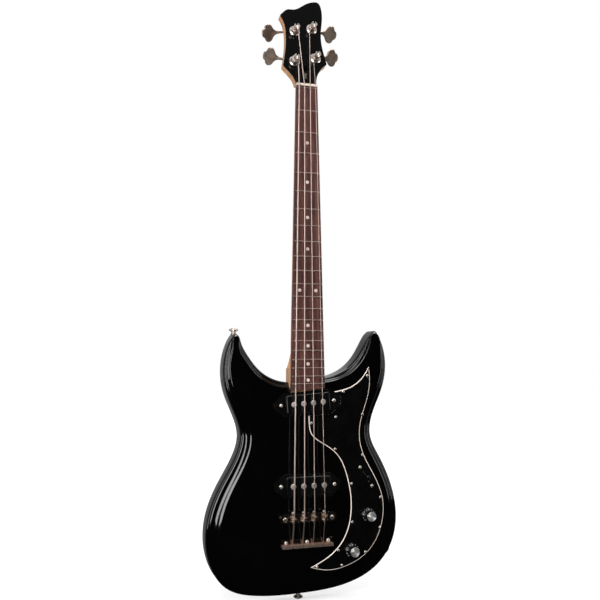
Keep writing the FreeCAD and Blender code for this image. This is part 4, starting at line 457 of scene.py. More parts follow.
bodyForm = {
    "start": 440, "length": 462, "halfWidth": 178, "thickness": 44, "edgeRound": 7, "carveWidth": 20.5,
    "carveDepth": 5, "perSpan": 12, "roundSteps": 8, "carveSteps": 12, "boreSides": 40, "smooth": 32,
    # across and down as shares of half width and length, then the share of the carve's width
    "outlineShares": [
        (-0.120, 0.203, 0.45), (-0.300, 0.191, 0.60), (-0.455, 0.158, 0.60), (-0.579, 0.102, 0.55),
        (-0.657, 0.047, 0.30), (-0.688, 0.021, 0.12), (-0.713, 0.015, 0.25), (-0.740, 0.024, 0.12),
        (-0.775, 0.047, 0.30), (-0.829, 0.123, 0.55), (-0.810, 0.229, 0.70), (-0.716, 0.323, 0.85),
        (-0.663, 0.404, 1.00), (-0.711, 0.476, 1.10), (-0.843, 0.570, 1.20), (-0.962, 0.673, 1.30),
        (-1.000, 0.764, 1.30), (-0.950, 0.873, 1.15), (-0.792, 0.957, 1.00), (-0.505, 0.993, 1.00),
        (-0.051, 0.998, 1.00), (0.534, 0.965, 1.00), (0.770, 0.914, 0.95), (0.933, 0.827, 0.90),
        (0.981, 0.722, 0.85), (0.935, 0.616, 0.80), (0.800, 0.495, 0.80), (0.702, 0.410, 0.75),
        (0.715, 0.346, 0.70), (0.822, 0.242, 0.70), (0.878, 0.141, 0.65), (0.845, 0.058, 0.40),
        (0.787, 0.013, 0.12), (0.756, 0.000, 0.25), (0.726, 0.008, 0.12), (0.657, 0.045, 0.30),
        (0.565, 0.102, 0.55), (0.430, 0.151, 0.60), (0.270, 0.177, 0.55), (0.120, 0.187, 0.45),
    ],
    "pocket": {"half": 31.3, "from": 470, "to": 586.55, "depth": 22},
    "routs": [{"at": (1.2, -569.5), "turn": 4.4}, {"at": (1.2, -713.3), "turn": 0}],
    "rout": {"length": 76, "width": 27, "depth": 11},
    "cavity": {"depth": 34, "switchRadius": 14, "switchReach": 15, "potRadius": 17, "rimSteps": 24},
    "flat": 20, "flatDepth": 11, "buttonDepth": 24, "jackShares": (0.884, 0.866), "jackTurn": 38,
    "jackDepth": 25, "jackFlat": 24.6, "jackBore": 18.1, "jackReach": 30,
    "hornShares": (-0.7135, 0.0195), "tailShares": (-0.051, 0.998),
}


def bodySteps():  # heights and insets from the back round to the plateau
    b = bodyForm
    count, edge, carve = b["roundSteps"], b["edgeRound"], b["carveDepth"]
    quarter = [math.pi / 2 * i / count for i in range(count + 1)]
    steps = [(-b["thickness"] + edge * (1 - math.sin(a)), edge * (1 - math.cos(a)))
             for a in reversed(quarter)]
    steps += [(-carve - edge * (1 - math.sin(a)), edge * (1 - math.cos(a))) for a in quarter]
    for i in range(1, b["carveSteps"] + 1):
        share = i / b["carveSteps"]
        steps.append((-carve * (1 + math.cos(math.pi * share)) / 2, edge + (b["carveWidth"] - edge) * share))
    return steps


def bodySpot(shares):  # a place on the body, across and along, from the outline's shares
    return shares[0] * bodyForm["halfWidth"], -bodyForm["start"] - shares[1] * bodyForm["length"]


def bodyBlank():
    shares = bodyForm["outlineShares"]
    spots = np.array([bodySpot(s) for s in shares])
    fine = splineThrough(spots, bodyForm["perSpan"])
    way = slopeAt(fine)[::bodyForm["perSpan"]]
    inward = np.stack([-way[:, 1], way[:, 0]], axis=1)
    carve = np.array([s[2] for s in shares])[:, None]
    verts = []
    steps = bodySteps()
    for out, inset in steps:
        ring = splineThrough(spots + inward * carve * inset, bodyForm["perSpan"])
        verts += [onDeck(x, z, out) for x, z in ring]
    size = len(fine)
    faces = ringFaces(len(steps), size)
    for first in (0, (len(steps) - 1) * size):
        faces += capFaces(verts[first:first + size], first, first == 0)
    blank = meshPiece("bodyLacquered", verts, faces, lacquer)
    tidyNormals(blank)
    return blank


def boxCutter(center, along, size, low, high):  # upright box on the deck, turned by an angle
    x, z = size[0] / 2, size[1] / 2
    corners = turned([(-x, -z), (x, -z), (x, z), (-x, z)], along, center)
    return prismCutter(corners, planes["topDrop"] - high, planes["topDrop"] - low)


def discCutter(seat, out, radius, low, high):  # round cutter along a direction, from a seat in mm
    verts, faces = lathe([(radius, low), (radius, high)], bodyForm["boreSides"])
    turn = Vector(out).to_track_quat("Z", "Y").to_matrix()
    return cutterFrom([(turn @ Vector(v) + Vector(seat)) * mm for v in verts], faces)


def cavityOutlines():  # hulls from the switch's two ends to the pots, one after another
    form = bodyForm["cavity"]
    turn = math.radians(guardForm["slotTurn"])
    reach = Vector((math.cos(turn), math.sin(turn))) * form["switchReach"]
    angles = np.linspace(0, 2 * math.pi, form["rimSteps"] + 1)[:-1]
    circle = [Vector((math.cos(a), math.sin(a))) for a in angles]
    switch = Vector(guardSpot(controlShares["switch"]))
    stations = [(switch - reach, form["switchRadius"]), (switch + reach, form["switchRadius"])]
    stations += [(Vector(guardSpot(controlShares[name])), form["potRadius"]) for name in ("volume", "tone")]
    hulls = []
    for pair in zip(stations, stations[1:]):
        rim = []
        for middle, radius in pair:
            rim += [middle + spot * radius for spot in circle]
        hulls.append([tuple(rim[i]) for i in geometry.convex_hull_2d(rim)])
    return hulls


def makeBody():
    b = bodyForm
    body = bodyBlank()
    pocket, rout, reach = b["pocket"], b["rout"], b["jackReach"]
    deck = planes["topDrop"]
    middle = -(pocket["from"] + pocket["to"]) / 2
    size = (2 * pocket["half"], pocket["to"] - pocket["from"])
    cutWith(body, boxCutter((0, middle), 0, size, -pocket["depth"], cutOver))
    size = (rout["length"], rout["width"])
    for place in b["routs"]:
        cutWith(body, boxCutter(place["at"], place["turn"], size, -rout["depth"], cutOver))
    for hull in cavityOutlines():
        cutWith(body, prismCutter(hull, deck - cutOver, deck + b["cavity"]["depth"]))
    jackX, jackZ = bodySpot(b["jackShares"])
    turn = math.radians(b["jackTurn"])
    jackWay = (math.cos(turn), 0, -math.sin(turn))
    jackSeat = (jackX, deck + b["jackDepth"], jackZ)
    cutWith(body, discCutter(jackSeat, jackWay, b["jackFlat"] / 2, 0, reach))
    cutWith(body, discCutter(jackSeat, jackWay, b["jackBore"] / 2, -reach, cutOver))
    for shares, way in ((b["hornShares"], (0, 0, 1)), (b["tailShares"], (0, 0, -1))):
        x, z = bodySpot(shares)
        seat = (x, deck + b["buttonDepth"], z)
        cutWith(body, discCutter(seat, way, b["flat"] / 2, 0, b["flatDepth"]))
    dress(body, lacquer, "instrument", b["smooth"])
    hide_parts("body")
    print("body made:", len(body.data.polygons), "faces")


# pickguard: black, cream and black plies with one bevel across them

guardForm = {
    "reach": 144.4, "start": 505.3, "length": 357, "perSpan": 10,
    "runShares": [
        [(0.826, 0.000), (0.752, 0.047), (0.635, 0.090), (0.520, 0.111), (0.387, 0.123), (0.208, 0.142)],
        [(0.028, 0.210), (0.027, 0.260), (0.062, 0.335), (0.216, 0.384), (0.402, 0.444), (0.533, 0.570),
         (0.568, 0.650), (0.566, 0.731), (0.521, 0.812), (0.357, 0.909), (0.044, 0.981)],
        [(0.044, 0.981), (0.244, 1.000), (0.518, 0.986), (0.800, 0.922), (0.976, 0.799), (0.994, 0.659),
         (0.850, 0.523), (0.722, 0.415), (0.697, 0.313), (0.796, 0.170), (0.838, 0.080), (0.826, 0.000)],
    ],
    # each ply: its lower and upper height, and how far the bevel has come in there
    "plies": {"Lower": (0.0, 0.8, 0.0, 0.0), "Middle": (0.8, 1.6, 0.0, 1.25), "Upper": (1.6, 2.4, 1.25, 2.1)},
    "pickupGap": 2, "potHole": 9.5, "slot": (22, 3.4), "slotTurn": -56.2, "sameSpot": 0.01, "tightest": -0.6,
    "smooth": 25,
}
controlShares = {"volume": (0.796, 0.745), "tone": (0.575, 0.912), "switch": (0.771, 0.554)}
guardScrewShares = [
    (0.800, 0.047), (0.476, 0.127), (0.730, 0.242), (0.376, 0.252), (0.060, 0.279), (0.364, 0.411),
    (0.726, 0.446), (0.577, 0.585), (0.961, 0.660), (0.585, 0.775), (0.950, 0.810), (0.400, 0.908),
    (0.754, 0.926), (0.443, 0.981), (0.123, 0.979),
]
earForm = {"shoulder": 43, "half": 21, "reach": 61.5, "tip": 5}


def guardSpot(shares):
    return shares[0] * guardForm["reach"], -guardForm["start"] - shares[1] * guardForm["length"]


def guardOutline():
    line = []
    for run in guardForm["runShares"]:
        line += [tuple(p) for p in splineThrough([guardSpot(s) for s in run], guardForm["perSpan"])]
    clean = []
    for p in line:
        if not clean or math.dist(p, clean[-1]) > guardForm["sameSpot"]:
            clean.append(p)
    if math.dist(clean[0], clean[-1]) < guardForm["sameSpot"]:
        clean.pop()
    return clean


def inward(line, size):  # a closed outline moved inward with mitred corners
    pts = np.array(line)
    before = pts - np.roll(pts, 1, axis=0)
    after = np.roll(pts, -1, axis=0) - pts
    before /= np.linalg.norm(before, axis=1)[:, None]
    after /= np.linalg.norm(after, axis=1)[:, None]
    area = np.sum(pts[:, 0] * np.roll(pts[:, 1], -1) - np.roll(pts[:, 0], -1) * pts[:, 1])
    side = 1 if area > 0 else -1
    mean = np.stack([-(before + after)[:, 1], (before + after)[:, 0]], axis=1) * side
    mean /= np.linalg.norm(mean, axis=1)[:, None]
    turn = np.clip(np.sum(before * after, axis=1), guardForm["tightest"], 1)
    return pts + mean * (size / np.sqrt((1 + turn) / 2))[:, None]


def earOutline(spread):  # plan of a pickup's ears, widened all round
    shoulder, half = earForm["shoulder"] + spread / 2, earForm["half"] + spread
    reach, tip = earForm["reach"] + spread, earForm["tip"] + spread / 2
    return [(reach, tip), (shoulder, half), (-shoulder, half), (-reach, tip),
            (-reach, -tip), (-shoulder, -half), (shoulder, -half), (reach, -tip)]


def turned(points, angle, center):
    turn = math.radians(angle)
    return [(center[0] + x * math.cos(turn) - z * math.sin(turn),
             center[1] + x * math.sin(turn) + z * math.cos(turn)) for x, z in points]


def makeGuard():
    outline = guardOutline()
    count = len(outline)
    deck = planes["topDrop"]
    neckRout = bodyForm["routs"][0]
    ears = turned(earOutline(guardForm["pickupGap"]), neckRout["turn"], neckRout["at"])
    for ply, (low, high, lowInset, highInset) in guardForm["plies"].items():
        verts = [onDeck(x, z, low) for x, z in inward(outline, lowInset)]
        verts += [onDeck(x, z, high) for x, z in inward(outline, highInset)]
        faces = ringFaces(2, count) + capFaces(verts[:count], 0, True) + capFaces(verts[count:], count, False)
        material = guardCream if ply == "Middle" else guardBlack
        sheet = meshPiece("pickguard" + ply + "Ply", verts, faces, material)
        tidyNormals(sheet)
        cutWith(sheet, prismCutter(ears, deck - cutOver, deck + cutOver))
        for name in ("volume", "tone"):
            x, z = guardSpot(controlShares[name])
            cutWith(sheet, discCutter((x, deck, z), (0, -1, 0), guardForm["potHole"] / 2, -cutOver, cutOver))
        cutWith(sheet, boxCutter(guardSpot(controlShares["switch"]), guardForm["slotTurn"], guardForm["slot"],
                                 -cutOver, cutOver))
        dress(sheet, material, "instrument", guardForm["smooth"])
        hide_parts("pickguard")
    print("pickguard made")


# strings: taut from the tailpiece over saddle and zero fret, then two turns on the posts

stringForm = {
    "nutSpread": 31.4, "bridgeSpread": 56.4, "scale": 762, "tailEnd": 815.4, "tailRise": 6,
    "saddleRise": 17.5, "fretHeight": 1.1, "seat": 0.05, "bend": 8, "windGap": 0.5, "turns": 2, "sides": 12,
    "perTurn": 28, "postWaist": 8.4, "runGap": 0.3, "bushing": 2.6, "headHalf": 43, "headLength": 175.5,
    "gauges": {"e": 2.67, "a": 2.16, "d": 1.65, "g": 1.14},
    "setbacks": {"e": 6.4, "a": 5.6, "d": 4.8, "g": 4.0},
    "postShares": {"e": (-0.465, 0.258), "a": (-0.384, 0.613), "d": (0.395, 0.661), "g": (0.488, 0.316)},
    "ball": [(1.3, 0.0), (2.8, 0.0), (2.8, 0.9), (2.1, 1.4), (2.1, 2.4), (2.8, 2.9), (2.8, 3.8), (1.3, 3.8)],
    "ballSides": 20, "bendSteps": (0, 0.25, 0.5, 0.75, 1),
}


def bendAt(before, corner, after, radius):  # the rounded turn of a taut string over an edge
    arrive = (corner - before).normalized()
    depart = (after - corner).normalized()
    reach = radius * mm * math.tan(arrive.angle(depart) / 2)
    first, last = corner - arrive * reach, corner + depart * reach
    return [first * (1 - t) ** 2 + corner * 2 * t * (1 - t) + last * t ** 2 for t in stringForm["bendSteps"]]


def postSpot(name):  # a post's place on the headstock
    across, along = stringForm["postShares"][name]
    return across * stringForm["headHalf"], along * stringForm["headLength"]


def stringLine(name):
    f = stringForm
    gauge = f["gauges"][name]
    share = "eadg".index(name) / 3 - 0.5
    tail = onDeck(f["bridgeSpread"] * share, -f["tailEnd"], f["tailRise"])
    saddle = onDeck(f["bridgeSpread"] * share, -f["scale"] - f["setbacks"][name], f["saddleRise"])
    fret = onNeck(f["nutSpread"] * share, 0, f["fretHeight"] + gauge / 2 + f["seat"])
    post = Vector(postSpot(name))
    side = 1 if post.x < 0 else -1
    radius = f["postWaist"] / 2 + f["runGap"] + gauge / 2
    pitch = gauge + f["windGap"]
    low = f["bushing"] + f["runGap"] + gauge / 2 + pitch / 4
    local = fret / mm - Vector((0, planes["headDrop"], planes["nutBack"]))
    start = Vector((local.x, local.y * math.sin(tilt) + local.z * math.cos(tilt)))
    flat = post - start
    lean = math.asin(side * radius / flat.length)
    touch = math.atan2(flat.y, flat.x) - lean - side * math.pi / 2
    winding = []
    for i in range(f["turns"] * f["perTurn"] + 1):
        turn = i / f["perTurn"]
        angle = touch + side * 2 * math.pi * turn
        winding.append(onHead(post.x + radius * math.cos(angle), post.y + radius * math.sin(angle),
                              low + pitch * turn))
    ending = winding[-1] + (winding[-1] - winding[-2]).normalized() * gauge * mm
    return ([tail] + bendAt(tail, saddle, fret, f["bend"])
            + bendAt(saddle, fret, winding[0], f["bend"]) + winding + [ending])


def tube(line, radius, sides):  # rings carried along a line without twist, and the length at each ring
    ways = [(line[min(i + 1, len(line) - 1)] - line[max(i - 1, 0)]).normalized() for i in range(len(line))]
    side = ways[0].orthogonal().normalized()
    verts, lengths = [], [0.0]
    for i, spot in enumerate(line):
        if i:
            side = ways[i - 1].rotation_difference(ways[i]) @ side
            lengths.append(lengths[-1] + (spot - line[i - 1]).length)
        up = ways[i].cross(side)
        for k in range(sides):
            turn = 2 * math.pi * k / sides
            verts.append(spot + (side * math.cos(turn) + up * math.sin(turn)) * radius)
    return verts, closedRings(len(line), sides), lengths


def stringPiece(title, name, line, ball=False):  # one run of a string, with rings of wrap along it
    f = stringForm
    sides = f["sides"]
    verts, faces, lengths = tube(line, f["gauges"][name] / 2 * mm, sides)
    along = [length / mm for length in lengths for k in range(sides)]
    if ball:
        ballVerts, ballFaces = lathe(f["ball"], f["ballSides"])
        first = len(verts)
        verts += [line[0] + Vector((x, y, -out)) * mm for x, y, out in ballVerts]
        along += [0.0] * len(ballVerts)
        faces += [tuple(first + i for i in reversed(face)) for face in ballFaces]
    wire = meshPiece(title + name, verts, faces, stringWire, None)
    lay = wire.data.uv_layers.new(name="along")
    for loop in wire.data.loops:
        lay.data[loop.index].uv = (0, along[loop.vertex_index])
    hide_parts("string_" + name)
    return wire


def makeStrings():  # each string parts at the top of its saddle into a tail run and a neck run
    top = 1 + len(stringForm["bendSteps"]) // 2
    for name in "eadg":
        line = stringLine(name)
        tailRun = stringPiece("stringTail_", name, line[:top + 1], True)
        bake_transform(tailRun)
        neckRun = stringPiece("stringNeck_", name, line[top:])
        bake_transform(neckRun)
    print("strings made")


# screws: domed heads with a cross recess

screwForm = {  # the head's width and rise, the shank's width and length
    "guard": (5, 1.5, 2.6, 11), "mount": (6.8, 2.2, 3.4, 18), "switch": (5.6, 1.7, 3, 6),
    "button": (8, 2, 4, 36), "neck": (8.6, 2, 4.4, 30),
}
headForm = {  # shares of the head's width and rise, apart from the tip and the counts
    "sides": 28, "domeSteps": 6, "domeWhole": 6.6, "flange": 0.25, "under": 0.98, "tip": 0.2,
    "crossWide": 0.62, "crossDeep": 0.62, "crossSlot": 0.13, "smooth": 35,
}


def crossHead(kind):  # one screw about its own axis, seat at zero
    h = headForm
    head, rise, wide, length = screwForm[kind]
    half, shank = head / 2, wide / 2
    profile = [(h["tip"], -length), (shank / 2, -length + shank), (shank, -length + 2 * shank), (shank, 0),
               (half * h["under"], 0)]
    for i in range(1, h["domeSteps"] + 1):
        turn = math.pi / 2 * i / h["domeWhole"]
        profile.append((half * math.cos(turn), rise * (h["flange"] + (1 - h["flange"]) * math.sin(turn))))
    verts, faces = lathe(profile, h["sides"])
    screw = rawMesh("screw", [Vector(v) * mm for v in verts], faces)
    tidyNormals(screw)
    long, short, deep = head * h["crossWide"] / 2, head * h["crossSlot"] / 2, rise * h["crossDeep"]
    for x, y in ((long, short), (short, long)):
        corners = [(-x, -y), (x, -y), (x, y), (-x, y)]
        cutVerts = [Vector((cx, cy, z)) * mm for z in (rise - deep, rise + 1) for cx, cy in corners]
        cutWith(screw, rawMesh("cutter", cutVerts, closedRings(2, 4)))
    made = screw.data
    bpy.data.objects.remove(screw)
    return made


def screwsAt(name, kind, seats, node):  # seats of (place, way out, turn of the recess)
    master = crossHead(kind)
    work = bmesh.new()
    for place, out, turn in seats:
        spin = Vector(out).to_track_quat("Z", "Y").to_matrix().to_4x4() @ Matrix.Rotation(turn, 4, "Z")
        copy = master.copy()
        copy.transform(Matrix.Translation(place) @ spin)
        work.from_mesh(copy)
        bpy.data.meshes.remove(copy)
    data = bpy.data.meshes.new(name)
    work.to_mesh(data)
    work.free()
    made = intoScene(name, data)
    dress(made, screwNickel, "instrument", headForm["smooth"])
    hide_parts(node)


screwPlaces = {
    "guardTop": 2.4, "earX": 49, "earTop": 4.5, "tailX": 38.5, "tailAlong": -810.5, "tailTop": 2.5,
    "switchGap": 40.4, "buttonTop": 11, "plateX": 38, "plateZ": 32, "plateMiddle": -564, "plateBack": 56.6,
    "tunerX": 9.4, "tunerLow": -10, "tunerHigh": 20.5, "headBack": -16.0,
    "tunerTurns": {"e": -7, "a": 11.5, "d": -6, "g": 9},
}


def makeScrews():
    p = screwPlaces
    front = Vector((0, -1, 0))
    headFront = Vector((0, -math.cos(tilt), math.sin(tilt)))
    small = [(onDeck(*guardSpot(s), p["guardTop"]), front, 0.9 * i) for i, s in enumerate(guardScrewShares)]
    corners = [(dx, dz) for dx in (-p["tunerX"], p["tunerX"]) for dz in (p["tunerLow"], p["tunerHigh"])]
    for name, tunerTurn in p["tunerTurns"].items():
        for x, z in turned(corners, tunerTurn, postSpot(name)):
            small.append((onHead(x, z, p["headBack"]), -headFront, x + z))
    screwsAt("crossScrewsSmall", "guard", small, "small_screws")
    mount = []
    for rout in bodyForm["routs"]:
        for x, z in turned([(-p["earX"], 0), (p["earX"], 0)], rout["turn"], rout["at"]):
            mount.append((onDeck(x, z, p["earTop"]), front, 0.4 + x))
    for side in (-1, 0, 1):
        mount.append((onDeck(side * p["tailX"], p["tailAlong"], p["tailTop"]), front, 0.3 + side))
    screwsAt("crossScrewsMounting", "mount", mount, "mounting_screws")
    reach = p["switchGap"] / 2
    ends = turned([(-reach, 0), (reach, 0)], guardForm["slotTurn"], guardSpot(controlShares["switch"]))
    pair = [(onDeck(x, z, p["guardTop"]), front, 0.5 * side) for side, (x, z) in zip((-1, 1), ends)]
    screwsAt("crossScrewsSwitch", "switch", pair, "switch_screws")
    buttons = []
    for shares, way in ((bodyForm["hornShares"], 1), (bodyForm["tailShares"], -1)):
        x, z = bodySpot(shares)
        seat = onDeck(x, z + way * p["buttonTop"], -bodyForm["buttonDepth"])
        buttons.append((seat, Vector((0, 0, way)), 0.6))
    screwsAt("crossScrewsStrap", "button", buttons, "strap_button_screws")
    plate = []
    for sx, sz in ((-1, -1), (-1, 1), (1, -1), (1, 1)):
        seat = Vector((sx * p["plateX"] / 2, p["plateBack"], p["plateMiddle"] + sz * p["plateZ"] / 2)) * mm
        plate.append((seat, -front, sx + sz))
    screwsAt("crossScrewsNeck", "neck", plate, "neck_screws")
    print("screws made")


# knobs: numbered skirt, fluted barrel and a turned metal cap

knobForm = {
    "seat": 3.2, "skirt": 12.9, "skirtEdge": 1.6, "skirtHeight": 6, "barrel": 9.2, "height": 16.6,
    "recess": 7.5, "recessDepth": 4.5, "flutes": 24, "fluteDepth": 0.4, "fluteForm": 0.7, "steps": 192,
    "numbers": 10, "sweep": 270, "numberSize": 2.5, "numberLift": 0.03, "numberShare": 0.46,
    "cap": 8.4, "capRise": 1.2, "capSink": 1.4, "capGap": 0.05, "capSides": 72, "smooth": 30,
    # the cap's face: radius of each ring and how deep it lies
    "capRings": [(6.9, 0), (6.7, 0.18), (6.3, 0.18), (6.1, 0.05), (3.2, 0.16), (0.3, 0.2)],
}


def aboutAxis(center, radius, turn, out):  # a place round an axis that stands on the deck
    return onDeck(center[0] + radius * math.cos(turn), center[1] + radius * math.sin(turn), out)


def knobShell(center):
    k = knobForm
    seat, skirt, barrel, hole = k["seat"], k["skirt"], k["barrel"], k["cap"] + k["capGap"]
    top, edge, foot = seat + k["height"], seat + k["skirtEdge"], seat + k["skirtHeight"]
    profile = [  # radius, height and how deep the flutes are there, with small rounds between
        (k["recess"], seat + k["recessDepth"], 0), (k["recess"], seat, 0), (skirt - 0.2, seat, 0),
        (skirt, seat + 0.2, 0), (skirt, edge - 0.3, 0), (skirt - 0.25, edge, 0),
        (barrel + 0.35, foot - 0.3, 0), (barrel, foot + 0.1, 0), (barrel, foot + 0.7, 1),
        (barrel - 0.05, top - 0.8, 1), (barrel - 0.1, top - 0.4, 0), (barrel - 0.35, top, 0),
        (hole, top, 0), (hole, top - k["capSink"], 0),
    ]
    verts = []
    for radius, out, flute in profile:
        for i in range(k["steps"]):
            turn = 2 * math.pi * i / k["steps"]
            cut = flute * k["fluteDepth"] * max(0.0, math.cos(k["flutes"] * turn)) ** k["fluteForm"]
            verts.append(aboutAxis(center, radius - cut, turn, out))
    return verts, closedRings(len(profile), k["steps"])


def numberMesh(text):  # a flat figure as a mesh, middle at zero, one unit high
    words = bpy.data.curves.new("figure", "FONT")
    words.body = text
    words.align_x, words.align_y = "CENTER", "CENTER"
    words.resolution_u = 3
    holder = intoScene("figure", words)
    graph = bpy.context.evaluated_depsgraph_get()
    graph.update()
    data = bpy.data.meshes.new_from_object(holder.evaluated_get(graph))
    bpy.data.objects.remove(holder)
    return data


def knobNumbers(center):  # figures wrapped onto the sloping skirt, tops outward, rising against the clock
    k = knobForm
    inner = (k["barrel"] + 0.35, k["seat"] + k["skirtHeight"] - 0.3)
    outer = (k["skirt"] - 0.25, k["seat"] + k["skirtEdge"])
    slope = math.dist(inner, outer)
    lift = k["numberLift"]
    verts, faces = [], []
    for number in range(k["numbers"] + 1):
        flat = numberMesh(str(number))
        middle = math.radians(90 - k["sweep"] / 2 + k["sweep"] * number / k["numbers"])
        first = len(verts)
        for v in flat.vertices:
            share = k["numberShare"] + v.co.y * k["numberSize"] / slope
            radius = inner[0] + (outer[0] - inner[0]) * share
            out = inner[1] + (outer[1] - inner[1]) * share
            turn = middle - v.co.x * k["numberSize"] / radius
            radius += lift * (inner[1] - outer[1]) / slope
            out += lift * (outer[0] - inner[0]) / slope
            verts.append(aboutAxis(center, radius, turn, out))
        faces += [tuple(first + i for i in face.vertices) for face in flat.polygons]
        bpy.data.meshes.remove(flat)
    return verts, faces


def knobCap(center):
    k, rim = knobForm, knobForm["cap"]
    top = k["seat"] + k["height"]
    face = top + k["capRise"]
    profile = [(rim, top - k["capSink"]), (rim, top), (rim - 0.15, top + 0.4), (rim - 0.6, face)]
    profile += [(radius, face - sink) for radius, sink in k["capRings"]]
    verts, faces = lathe(profile, k["capSides"])
    radii = [radius for radius, out in profile for i in range(k["capSides"])]
    return [onDeck(center[0] + x, center[1] + z, out) for x, z, out in verts], faces, radii


def turningMap(cap, center, radii):  # lays the cap's rings along u and its radius along v, in mm
    lay = cap.data.uv_layers.new(name="turning")
    for face in cap.data.polygons:
        middle = face.center / mm
        turn = math.atan2(middle.z - center[1], middle.x - center[0])
        for index in face.loop_indices:
            corner = cap.data.loops[index].vertex_index
            spot = cap.data.vertices[corner].co / mm
            ahead = math.atan2(spot.z - center[1], spot.x - center[0]) - turn
            ahead = (ahead + math.pi) % (2 * math.pi) - math.pi
            lay.data[index].uv = ((turn + ahead) * knobForm["cap"], radii[corner])


def makeKnobs():
    for name in ("volume", "tone"):
        center = guardSpot(controlShares[name])
        body = name + "_control"
        shell = meshPiece(name + "KnobShell", *knobShell(center), blackPlastic, body, knobForm["smooth"])
        tidyNormals(shell)
        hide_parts(name + "_knob")
        figures = meshPiece(name + "KnobNumbers", *knobNumbers(center), numberPaint, body)
        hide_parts(name + "_knob")
        verts, faces, radii = knobCap(center)
        cap = meshPiece(name + "KnobCapTurned", verts, faces, aluminium, body, knobForm["smooth"])
        tidyNormals(cap)
        turningMap(cap, center, radii)
        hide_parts(name + "_knob_cap")
    print("knobs made")


makeBody()
makeGuard()
makeStrings()
makeScrews()
makeKnobs()


# studio: white paper floor and backdrop, dark camera side, strip light on the left

studio = {
    # painted shadow: near the object the paper's glow is painted down to the shadow level, and it rises to
    # full across the shadow reach
    "floorSize": 12.0, "floorGap": 0.0005, "paintedShadowReach": (0.9, 2.6), "paintedShadowLevel": 0.55,
    "aim": (0, 0, -0.5), "fill": 0.55,
    # how bright reflections find the backdrop's left and right, the room in front and what is overhead
    "left": 0.2, "right": 0.6, "room": 0.008, "ceiling": 0.15, "tent": 1.5,
}


def paperMaterial():  # seamless paper: white to the eye, with a painted shadow that dims its glow near the object, and painted shade on its front half where it is mirrored
    paper, tree, shader, place = startMaterial("whiteSeamlessPaper", {
        "Roughness": 0.95, "Specular IOR Level": 0.0, "Emission Color": (1, 1, 1, 1)})
    near, far = studio["paintedShadowReach"]
    rays = addNode(tree, "LightPath")
    away = addNode(tree, "VectorMath", links={0: place}, operation="LENGTH")
    # painted shadow: the glow is dimmer the nearer a spot lies to the middle of the scene, where the object
    # stands
    paintedShadowGlow = addNode(tree, "MapRange", {"From Min": near, "From Max": far, "To Min": studio["paintedShadowLevel"]},
                   {"Value": away.outputs["Value"]})
    parts = addNode(tree, "SeparateXYZ", links={"Vector": place})
    # painted shade: in reflections the paper's front half is painted near black, rising to a dim grey behind
    # the object
    behind = addNode(tree, "MapRange", {"From Max": 0.5, "To Min": studio["room"], "To Max": studio["left"]},
                     {"Value": parts.outputs["Y"]})
    paintedReflectionShade = addNode(tree, "Mix", {2: 1.0}, {0: rays.outputs["Is Glossy Ray"], 3: behind.outputs["Result"]})
    tint = addNode(tree, "ValToRGB", links={"Fac": paintedReflectionShade.outputs[0]})
    setStops(tint, [(0.0, "#000000"), (1.0, "#bcbcbc")])
    seen = addNode(tree, "Math", links={0: rays.outputs["Is Camera Ray"], 1: rays.outputs["Is Glossy Ray"]},
                   operation="MAXIMUM")
    through = addNode(tree, "Math", links={0: seen.outputs[0], 1: rays.outputs["Is Transmission Ray"]},
                      operation="MAXIMUM")
    level = addNode(tree, "Math", links={0: paintedReflectionShade.outputs[0], 1: paintedShadowGlow.outputs["Result"]},
                    operation="MULTIPLY")
    shown = addNode(tree, "Math", links={0: through.outputs[0], 1: level.outputs[0]}, operation="MULTIPLY")
    feed(tree, shader, {"Base Color": tint.outputs["Color"], "Emission Strength": shown.outputs[0]})
    return paper


def makeFloor():
    low = cadBox[0].z - studio["floorGap"]
    half = studio["floorSize"] / 2
    corners = [(-half, -half, low), (half, -half, low), (half, half, low), (-half, half, low)]
    floor = rawMesh("floor", corners, [(0, 1, 2, 3)])
    floor.data.materials.append(paperMaterial())


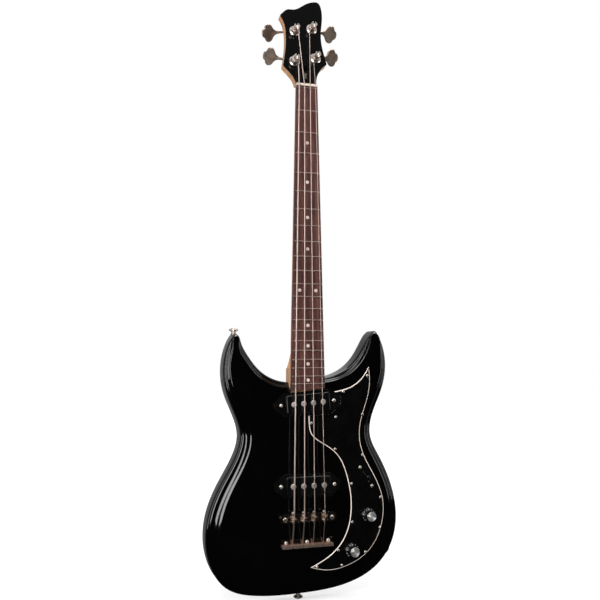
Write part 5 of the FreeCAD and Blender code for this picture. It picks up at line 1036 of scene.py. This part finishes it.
def makeWorld():
    world = bpy.data.worlds.new("studio")
    bpy.context.scene.world = world
    world.use_nodes = True
    tree = world.node_tree
    shader = tree.nodes["Background"]
    rays = addNode(tree, "LightPath")
    place = addNode(tree, "TexCoord")
    parts = addNode(tree, "SeparateXYZ", links={"Vector": place.outputs["Generated"]})
    level = addNode(tree, "MapRange", {
        "From Min": -0.5, "From Max": 0.3, "To Min": studio["left"], "To Max": studio["right"],
    }, {"Value": parts.outputs["X"]})
    tent = addNode(tree, "MapRange", {
        "From Min": 0.74, "From Max": 0.9, "To Min": studio["ceiling"], "To Max": studio["tent"],
    }, {"Value": parts.outputs["Z"]})
    above = addNode(tree, "MapRange", {"From Min": 0.2, "From Max": 0.74, "To Min": studio["room"]},
                    {"Value": parts.outputs["Z"], "To Max": tent.outputs["Result"]})
    behind = addNode(tree, "MapRange", {"From Min": -0.3, "From Max": 0.25}, {
        "Value": parts.outputs["Y"], "To Min": above.outputs["Result"], "To Max": level.outputs["Result"]})
    soft = addNode(tree, "Mix", {2: studio["fill"]},
                   {0: rays.outputs["Is Glossy Ray"], 3: behind.outputs["Result"]})
    seen = addNode(tree, "Math", operation="MAXIMUM", links={
        0: rays.outputs["Is Camera Ray"], 1: rays.outputs["Is Transmission Ray"]})
    shown = addNode(tree, "Mix", {3: 1.0}, {0: seen.outputs[0], 2: soft.outputs[0]})
    shader.inputs["Color"].default_value = (1, 1, 1, 1)
    feed(tree, shader, {"Strength": shown.outputs[0]})


lampSet = {  # place and size in metres, power in watts
    "stripLeft": ((-0.88, -1.52, -0.35), (0.45, 2.2), 28),
    "panelLeft": ((-1.9, -0.55, -0.5), (0.5, 1.6), 10),
    "softFront": ((-0.9, -2.2, 1.6), (1.2, 1.2), 30),
    "overhead": ((0.5, -0.5, 1.7), (0.9, 0.5), 11),
    "backTop": ((0.3, 1.4, 1.6), (1.6, 0.8), 22),
    "fillRight": ((1.7, -0.9, -0.1), (0.4, 1.8), 10),
}


def makeLamps():
    aim = Vector(studio["aim"])
    for name, (place, size, power) in lampSet.items():
        data = bpy.data.lights.new(name, "AREA")
        data.shape = "RECTANGLE"
        data.size, data.size_y = size
        data.energy = power
        lamp = intoScene(name, data)
        lamp.location = place
        lamp.rotation_euler = (aim - Vector(place)).to_track_quat("-Z", "Y").to_euler()


cameraForm = {"at": (-418.1, -1319.7, -491.2), "yaw": 17.0, "pitch": 4.311, "roll": -0.158, "lens": 46.8,
              "sensor": 36, "clip": (0.01, 60)}


def makeCamera():
    yaw, pitch, roll = (math.radians(cameraForm[k]) for k in ("yaw", "pitch", "roll"))
    ahead = Vector((math.sin(yaw) * math.cos(pitch), math.cos(yaw) * math.cos(pitch), math.sin(pitch)))
    side = Vector((math.cos(yaw), -math.sin(yaw), 0))
    over = side.cross(ahead)
    right = side * math.cos(roll) + over * math.sin(roll)
    up = over * math.cos(roll) - side * math.sin(roll)
    data = bpy.data.cameras.new("camera")
    data.sensor_width = cameraForm["sensor"]
    data.lens = cameraForm["lens"]
    data.clip_start, data.clip_end = cameraForm["clip"]
    camera = intoScene("camera", data)
    turn = Matrix((right, up, -ahead)).transposed().to_4x4()
    camera.matrix_world = Matrix.Translation(Vector(cameraForm["at"]) * mm) @ turn
    bpy.context.scene.camera = camera


makeFloor()
makeWorld()
makeLamps()
makeCamera()
bpy.context.scene.view_settings.view_transform = "Standard"
print("studio set")
